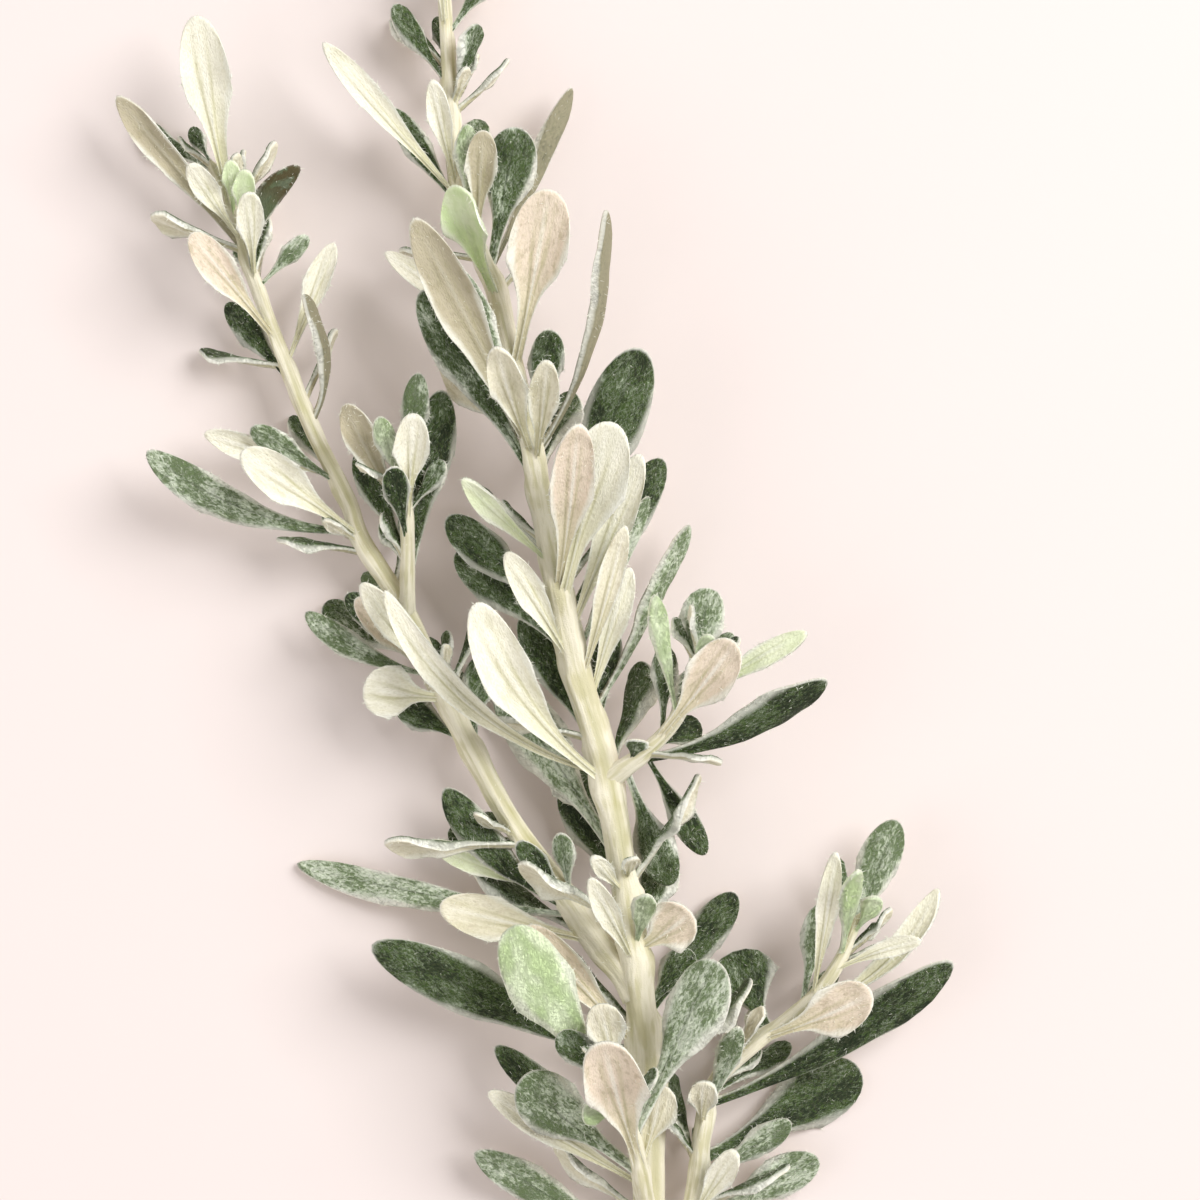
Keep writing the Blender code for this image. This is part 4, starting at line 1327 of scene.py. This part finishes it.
@dataclass
class LeafSpray:
    """All the leaves of a shoot as one piece.

    The shares are of a leaf's width, half width or length. A pair of a start and a run says
    where on the blade something sets in and over how much of it it grows.
    """

    shoot: Shoot
    finish: bpy.types.Material
    draw: random.Random
    large: LeafSheet = field(default_factory=lambda: LeafSheet(14, 28))
    small: LeafSheet = field(default_factory=lambda: LeafSheet(8, 16))
    row_crowding: float = 1.6
    tip_power: Span = (1.85, 2.15)
    slender: Span = (0.16, 0.3)
    waist: Span = (1.4, 2.3)
    wander_share: float = 0.06
    edge_share: float = 0.035
    edge_waves: tuple[Span, Span] = ((2.5, 1.0), (4.5, 0.4))
    middle_thickness: float = 0.5 * MM
    margin_thickness: float = 0.78 * MM
    thick_side: Span = (0.6, 0.35)
    thick_tip: Span = (0.9, 0.08)
    thick_foot: float = 0.3
    rim_thickness_share: float = 0.35
    rim_radius: float = 0.4 * MM
    groove_depth: float = 0.24 * MM
    rib_height: float = 0.36 * MM
    rib_width: float = 0.14
    rib_fade: float = 3.0
    small_arch: float = MARGIN_DROP / 3
    margin_roll: float = 0.3
    rolled_side: Span = (0.7, 0.3)
    stiff_foot: Span = (0.0, 0.5)
    wave_share: float = 0.14
    wave_counts: Span = (1.2, 2.8)
    pucker_height: float = 0.19 * MM
    pucker_size: float = 2.4 * MM
    twist: float = math.radians(18)
    floor_gap: float = 0.02 * MM
    pattern_spread: float = 60.0

    def build(self) -> bpy.types.Object:
        """Bend every leaf and join them.

        Returns:
            The finished piece.
        """
        sheets = {True: self.large.build(), False: self.small.build()}
        bm = bmesh.new()
        places, flats, tones, chances = [], [], [], []
        for blade in self.shoot.blades:
            sheet = sheets[blade.length >= LARGE_LEAF]
            bm.from_mesh(sheet)
            unit = read(sheet.vertices, "co", 3)
            place, flat = self._bend(blade, unit)
            chance = self.draw.random()
            flat[:, 2] = chance * self.pattern_spread
            places.append(place)
            flats.append(flat)
            tones.append(np.tile((*blade.tone.value, 1.0), (len(unit), 1)))
            chances.append(np.full(len(unit), chance))
        mesh = mesh_from(bm, self.shoot.name + "_leaves")
        for sheet in sheets.values():
            bpy.data.meshes.remove(sheet)
        mesh.vertices.foreach_set("co", np.concatenate(places).ravel())
        for name, kind, key, values in (("flat", "FLOAT_VECTOR", "vector", flats),
                                        ("tone", "FLOAT_COLOR", "color", tones),
                                        ("chance", "FLOAT", "value", chances)):
            carried = mesh.attributes.new(name, kind, "POINT")
            carried.data.foreach_set(key, np.concatenate(values).ravel())
        return show(mesh, self.shoot, self.finish)

    def _bend(self, blade: Blade, unit: np.ndarray) -> tuple[np.ndarray, np.ndarray]:
        """Lay the unit sheet along a blade.

        Args:
            blade: The blade in its place.
            unit: The sheet's corners.

        Returns:
            The corners in place, and their places on the flattened leaf in millimetres.
        """
        v = np.sin(unit[:, 0] * math.pi / 2)
        side = np.abs(v)
        row = 1 - (1 - (unit[:, 1] + 1) / 2) ** self.row_crowding
        upper = unit[:, 2] > 0
        tip = 1 - WIDEST_AT
        power, waist = (np.interp(blade.width / blade.length, self.slender, ends)
                        for ends in (self.tip_power, self.waist))
        round_tip = np.maximum(1 - side ** power, 0) ** (1 / power)
        along = row * (1 - (1 - round_tip) * row ** 2 * tip)
        grown = np.clip(row * (1 - row ** 2 * tip) / WIDEST_AT, 0, 1) ** waist
        grown = grown * grown * (3 - 2 * grown)
        reach = blade.width / 2 * (STALK_SHARE + (1 - STALK_SHARE) * grown)
        reach *= 1 + self._edge(v, row)
        wander = self.draw.uniform(-self.wander_share, self.wander_share)
        across = v * reach + wander * blade.width * np.sin(math.pi * row) * (1 - v ** 2)
        inset = np.minimum((1 - side) * reach, (1 - row) * blade.length)
        inside = np.clip(1 - inset / self.rim_radius, 0, 1)
        rim = np.maximum(np.sqrt(1 - inside ** 2), self.rim_thickness_share)
        thicker = np.maximum(ramp(side, *self.thick_side), ramp(row, *self.thick_tip))
        thick = self.middle_thickness + (self.margin_thickness - self.middle_thickness) * thicker
        thick += np.maximum(self.thick_foot - row, 0) * self.middle_thickness
        rib = np.exp(-(v / self.rib_width) ** 2) * np.clip((1 - row) * self.rib_fade, 0, 1)
        arch = MARGIN_DROP if blade.length >= LARGE_LEAF else self.small_arch
        free = ramp(row, *self.stiff_foot)
        rise = -arch * np.abs(v * reach) * side
        rise += np.where(upper, -self.groove_depth * rib, -self.rib_height * rib)
        rise += np.where(upper, 0.5, -0.5) * thick * rim
        rise -= self.margin_roll * reach * ramp(side, *self.rolled_side) ** 2
        rise += self._waves(v, along) * self.wave_share * reach * free
        rise += across * np.tan(self.draw.uniform(-1, 1) * self.twist * row)
        point, level, normal = self._midline(blade, along)
        place = point + level * across[:, None] + normal * rise[:, None]
        heights = [noise.noise(Vector(p) * (1 / self.pucker_size)) for p in place]
        place += normal * (np.array(heights) * self.pucker_height * free)[:, None]
        place[:, 2] = np.maximum(place[:, 2], self.floor_gap)
        flat = np.stack([across / MM, along * blade.length / MM, np.zeros_like(across)], axis=1)
        return place, flat

    def _edge(self, v: np.ndarray, row: np.ndarray) -> np.ndarray:
        """Draw small bays and swellings of the outline, different left and right.

        Args:
            v: The places across, -1 to 1.
            row: The places along, 0 to 1.

        Returns:
            The shares by which the leaf is wider there.
        """
        total = np.zeros_like(v)
        for left in (True, False):
            for count, share in self.edge_waves:
                turn = 2 * math.pi * count * row + self.draw.uniform(0, 2 * math.pi)
                total += np.where((v < 0) == left, np.sin(turn) * share, 0) * np.abs(v)
        return total * self.edge_share

    def _waves(self, v: np.ndarray, along: np.ndarray) -> np.ndarray:
        """Draw uneven waves of the margins, different left and right.

        Args:
            v: The places across, -1 to 1.
            along: The places along, 0 to 1.

        Returns:
            The heights, -1 to 1.
        """
        total = np.zeros_like(v)
        for left in (True, False):
            count, phase = self.draw.uniform(*self.wave_counts), self.draw.uniform(0, 2 * math.pi)
            wave = np.sin(2 * math.pi * count * along + phase)
            total += np.where((v < 0) == left, wave, 0) * v ** 2
        return total

    @staticmethod
    def _midline(blade: Blade, along: np.ndarray) -> tuple[np.ndarray, np.ndarray, np.ndarray]:
        """Follow the midline at many places.

        Args:
            blade: The blade in its place.
            along: The shares of its length.

        Returns:
            The midline points, the sides and the upper normals.
        """
        shares = tuple(k / SPINE_STEPS for k in range(SPINE_STEPS + 1))
        frames = np.array([[*point, *side, *normal]
                           for point, side, normal in blade.frames(shares)])
        found = np.stack([np.interp(along, shares, frames[:, k]) for k in range(9)], axis=1)
        return found[:, :3], found[:, 3:6], found[:, 6:]


@dataclass
class WoollyStem:
    """The stem of a shoot, with ridges, a cushion under each leaf and a cut or hidden foot.

    The shares are of the stem's radius, and the angles are radians round it.
    """

    shoot: Shoot
    route: Route
    finish: bpy.types.Material
    sides: int = 20
    ring_step: float = 0.9 * MM
    bark_share: float = 0.14
    wood_share: float = 0.5
    cushion_share: float = 0.2
    cushion_drop: float = 1.0 * MM
    cushion_length: float = 1.9 * MM
    cushion_angle: float = 0.6
    cushion_leaf: float = 4.0 * MM
    most_cushion: float = 1.3
    seat_share: float = 0.25
    trail_share: float = 0.16
    trail_length: float = 9.0 * MM
    trail_angle: float = 0.34
    most_trail: float = 1.2
    fades: Span = (2.0, 4.0)
    ridge_count: int = 5
    ridge_share: float = 0.062
    ridge_turn: float = 25.0
    ridge_shade_share: float = 0.3
    lump_share: float = 0.05
    lump_size: float = 2.5 * MM
    flare: float = 0.22
    flare_length: float = 2.5 * MM
    tip_length: float = 1.4 * MM
    tip_share: float = 0.15

    def build(self) -> bpy.types.Object:
        """Shape the stem.

        Returns:
            The finished piece.
        """
        bm = self._tube(round(self.route.length / self.ring_step))
        core = bm.verts.layers.float.new("core")
        bulge = bm.verts.layers.float.new("bulge")
        uv = bm.loops.layers.uv.new("UVMap")
        unit = np.array([v.co for v in bm.verts])
        for face in bm.faces:
            face.smooth = True
            corners = [unit[loop.vert.index] for loop in face.loops]
            turns = [math.atan2(c[0], c[1]) / (2 * math.pi) + 0.5 for c in corners]
            wraps = max(turns) - min(turns) > 0.5
            for loop, corner, turn in zip(face.loops, corners, turns):
                turn += 1 if wraps and turn < 0.5 else 0
                loop[uv].uv = (turn, (corner[2] + 0.5) * self.route.length / STEM_UNROLL)
        cushions = self._cushions()
        for vert in bm.verts:
            x, y, z = unit[vert.index]
            vert[core] = math.hypot(x, y)
            vert.co, vert[bulge] = self._surface((z + 0.5) * self.route.length,
                                                 math.atan2(x, y), math.hypot(x, y), cushions)
        return show(mesh_from(bm, self.shoot.name + "_stem"), self.shoot, self.finish)

    def _tube(self, rings: int) -> bmesh.types.BMesh:
        """Make a unit tube, with bark, wood and pith marked off on its two ends.

        Args:
            rings: How many rings of faces it has.

        Returns:
            The tube, with its corners numbered.
        """
        bm = bmesh.new()
        bmesh.ops.create_cone(bm, cap_ends=True, segments=self.sides, radius1=1, radius2=1,
                              depth=1)
        long = [e for e in bm.edges if abs(e.verts[0].co.z - e.verts[1].co.z) > 0.5]
        bmesh.ops.subdivide_edges(bm, edges=long, cuts=rings - 1, use_grid_fill=True)
        caps = [f for f in bm.faces if len(f.verts) > 4]
        for share in (self.bark_share, self.wood_share):
            bmesh.ops.inset_individual(bm, faces=caps, thickness=share)
        bmesh.ops.poke(bm, faces=caps)
        bm.verts.index_update()
        return bm

    def _cushions(self) -> list[tuple[float, float, float]]:
        """Find the cushion under each leaf.

        Returns:
            Its run along the stem, its angle from the top and its size.
        """
        found = []
        for blade in self.shoot.blades:
            run = blade.along * MM
            side, top = level_frame(self.route.at(run)[1])
            out = blade.frames((0.0, self.seat_share))[1][0] - blade.seat
            found.append((run, math.atan2(out.dot(side), out.dot(top)),
                          min(blade.width / self.cushion_leaf, self.most_cushion)))
        return found

    def _surface(self, run: float, angle: float, core: float,
                 cushions: list[tuple[float, float, float]]) -> tuple[Vector, float]:
        """Find a place on the stem.

        Args:
            run: The length along the route.
            angle: The angle from the top.
            core: The share of the radius.
            cushions: The cushions under the leaves.

        Returns:
            The place, and how far it is raised as a share of a whole cushion.
        """
        point, axis, radius = self.route.at(run)
        side, top = level_frame(axis)
        raised = trailed = 0.0
        for seat, turn, size in cushions:
            if (-self.fades[0] * self.trail_length < run - seat
                    < self.fades[1] * self.cushion_length):
                apart = (angle - turn + math.pi) % (2 * math.pi) - math.pi
                below = (run - seat + self.cushion_drop) / self.cushion_length
                raised += size * math.exp(-below ** 2 - (apart / self.cushion_angle) ** 2)
                if run < seat:
                    fade = (seat - run) / self.trail_length
                    trailed += size * math.exp(-fade ** 2 - (apart / self.trail_angle) ** 2)
        raised, trailed = min(raised, self.most_cushion), min(trailed, self.most_trail)
        ridge = self.ridge_share * math.cos(self.ridge_count * angle + self.ridge_turn * run)
        lump = self.lump_share * noise.noise(point / self.lump_size + Vector((angle, 0, 0)))
        if self.shoot.parent:
            ridge += self.flare * math.exp(-run / self.flare_length)
        height = radius * (1 - self.trail_share / 2 + ridge + lump + self.cushion_share * raised
                           + self.trail_share * trailed)
        # The ridges also steer the painted shade of the furrows, through the raise that the finish
        # reads.
        raised += trailed + ridge / self.ridge_share * self.ridge_shade_share
        left = (self.route.length - run) / self.tip_length
        if left < 1:
            height *= max(math.sqrt(max(1 - (1 - left) ** 2, 0)), self.tip_share)
        place = point + (side * math.sin(angle) + top * math.cos(angle)) * height * core
        place.z = max(place.z, 0.0)
        return place, raised


@dataclass
class Hairs:
    """The short white hairs that stand off a shoot's leaves and stem."""

    shoot: Shoot
    finish: bpy.types.Material
    draw: np.random.Generator
    share: float = 0.1
    rim_share: float = 0.65
    lengths: Span = (0.3 * MM, 0.8 * MM)
    radius: float = 0.042 * MM
    lean: float = 1.1
    sunk: float = 0.04 * MM

    def build(self, pieces: list[bpy.types.Object]) -> bpy.types.Object:
        """Plant hairs on a share of the faces of some pieces.

        Args:
            pieces: The leaves and the stem of the shoot.

        Returns:
            The hairs as one piece.
        """
        found = [self._faces(piece.data) for piece in pieces]
        roots, normals = (np.concatenate(group) for group in zip(*found))
        count = len(roots)
        lean = self.draw.normal(size=(count, 3))
        ahead = self._unit(normals + self._unit(lean) * self.lean)
        side = self._unit(np.cross(ahead, lean))
        lengths = self.draw.uniform(*self.lengths, size=(count, 1))
        spike = self._spike()
        x, y, z = (axis[None, :, None] for axis in read(spike.vertices, "co", 3).T)
        bm = bmesh.new()
        for _ in range(count):
            bm.from_mesh(spike)
        bpy.data.meshes.remove(spike)
        mesh = mesh_from(bm, self.shoot.name + "_hairs")
        place = ((roots - normals * self.sunk)[:, None] + side[:, None] * x * self.radius
                 + np.cross(ahead, side)[:, None] * y * self.radius
                 + (ahead * lengths)[:, None] * z)
        place[..., 2] = np.maximum(place[..., 2], 0)
        mesh.vertices.foreach_set("co", place.ravel())
        return show(mesh, self.shoot, self.finish)

    @staticmethod
    def _unit(vectors: np.ndarray) -> np.ndarray:
        """The vectors at length 1."""
        return vectors / np.maximum(np.linalg.norm(vectors, axis=1, keepdims=True), 1e-6)

    def _faces(self, mesh: bpy.types.Mesh) -> tuple[np.ndarray, np.ndarray]:
        """Choose the faces that bear a hair, most of them on the rims of the leaves.

        Args:
            mesh: The leaves or the stem.

        Returns:
            The middles and the normals of the faces.
        """
        faces = mesh.polygons
        share = np.full(len(faces), self.share)
        if "upper" in mesh.attributes:
            upper = read(mesh.attributes["upper"].data, "value")
            corners = read(mesh.loops, "vertex_index").astype(int)
            share[np.ptp(upper[corners].reshape(-1, 4), axis=1) > 0] = self.rim_share
        chosen = self.draw.random(len(share)) < share
        return read(faces, "center", 3)[chosen], read(faces, "normal", 3)[chosen]

    @staticmethod
    def _spike() -> bpy.types.Mesh:
        """Make a three-sided point of unit size that stands on the origin.

        Returns:
            Its mesh.
        """
        bm = bmesh.new()
        bmesh.ops.create_cone(bm, cap_ends=True, cap_tris=False, segments=3, radius1=1,
                              radius2=0, depth=1)
        bmesh.ops.remove_doubles(bm, verts=bm.verts[:], dist=0.001)
        bmesh.ops.translate(bm, vec=(0, 0, 0.5), verts=bm.verts[:])
        return mesh_from(bm, "hair")


@dataclass
class Studio:
    """The pale floor, the soft lights and the camera that looks straight down."""

    paper: bpy.types.Material
    middle: Vector = field(default_factory=lambda: Vector((-6 * MM, 96 * MM, 12 * MM)))
    frame_width: float = 144 * MM
    distance: float = 0.5
    sensor: float = 36.0
    floor_half: float = 1.5
    key_place: Vector = field(default_factory=lambda: Vector((0.74, 0.54, 0.9)))
    key_size: float = 0.75
    key_watts: float = 14.4
    fill_place: Vector = field(default_factory=lambda: Vector((-0.45, -0.05, 0.4)))
    fill_size: float = 0.5
    fill_watts: float = 0.8
    sky: Colour = srgb(255, 250, 246)
    sky_strength: float = 0.54

    def build(self) -> None:
        """Lay the floor, hang the lights and set up the camera."""
        self._floor()
        self._light("key", self.key_place, self.key_size, self.key_watts)
        self._light("fill", self.fill_place, self.fill_size, self.fill_watts)
        self._sky()
        self._camera()

    def _floor(self) -> None:
        """Lay the plain floor."""
        bm = bmesh.new()
        bmesh.ops.create_grid(bm, x_segments=1, y_segments=1, size=self.floor_half)
        mesh = mesh_from(bm, "floor")
        mesh.materials.append(self.paper)
        stand("floor", mesh)

    def _light(self, name: str, place: Vector, size: float, watts: float) -> None:
        """Hang a square light that faces the sprig.

        Args:
            name: Its name.
            place: Where it hangs.
            size: The length of its side.
            watts: Its power.
        """
        light = bpy.data.lights.new(name, "AREA")
        light.size = size
        light.energy = watts
        lamp = stand(name, light)
        lamp.location = place
        lamp.rotation_euler = (self.middle - place).to_track_quat("-Z", "Y").to_euler()

    def _sky(self) -> None:
        """Fill the surroundings with soft white light."""
        world = bpy.data.worlds.new("sky")
        world.use_nodes = True
        background = world.node_tree.nodes["Background"]
        background.inputs["Color"].default_value = self.sky
        background.inputs["Strength"].default_value = self.sky_strength
        bpy.context.scene.world = world
        bpy.context.scene.view_settings.view_transform = "Standard"

    def _camera(self) -> None:
        """Look straight down on the sprig, with its tip at the top of the picture."""
        data = bpy.data.cameras.new("camera")
        data.sensor_width = self.sensor
        data.lens = self.sensor * self.distance / self.frame_width
        camera = stand("camera", data)
        camera.location = self.middle + UP * self.distance
        bpy.context.scene.camera = camera


def main() -> None:
    """Load the frame, replace its nodes with fine pieces and light them."""
    logging.basicConfig(level=logging.INFO, format="%(name)s: %(message)s")
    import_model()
    plan = SprigPlan(SHOOTS)
    leaf_felt = LeafFelt().build()
    stem_felt = StemFelt().build()
    hair_wool = HairWool().build()
    draw = random.Random(SEED)
    hair_draw = np.random.default_rng(SEED)
    for shoot in plan.shoots:
        leaves = LeafSpray(shoot, leaf_felt, draw).build()
        stem = WoollyStem(shoot, plan.routes[shoot.name], stem_felt).build()
        Hairs(shoot, hair_wool, hair_draw).build([leaves, stem])
    Studio(CardPaper().build()).build()


if __name__ == "__main__":
    main()
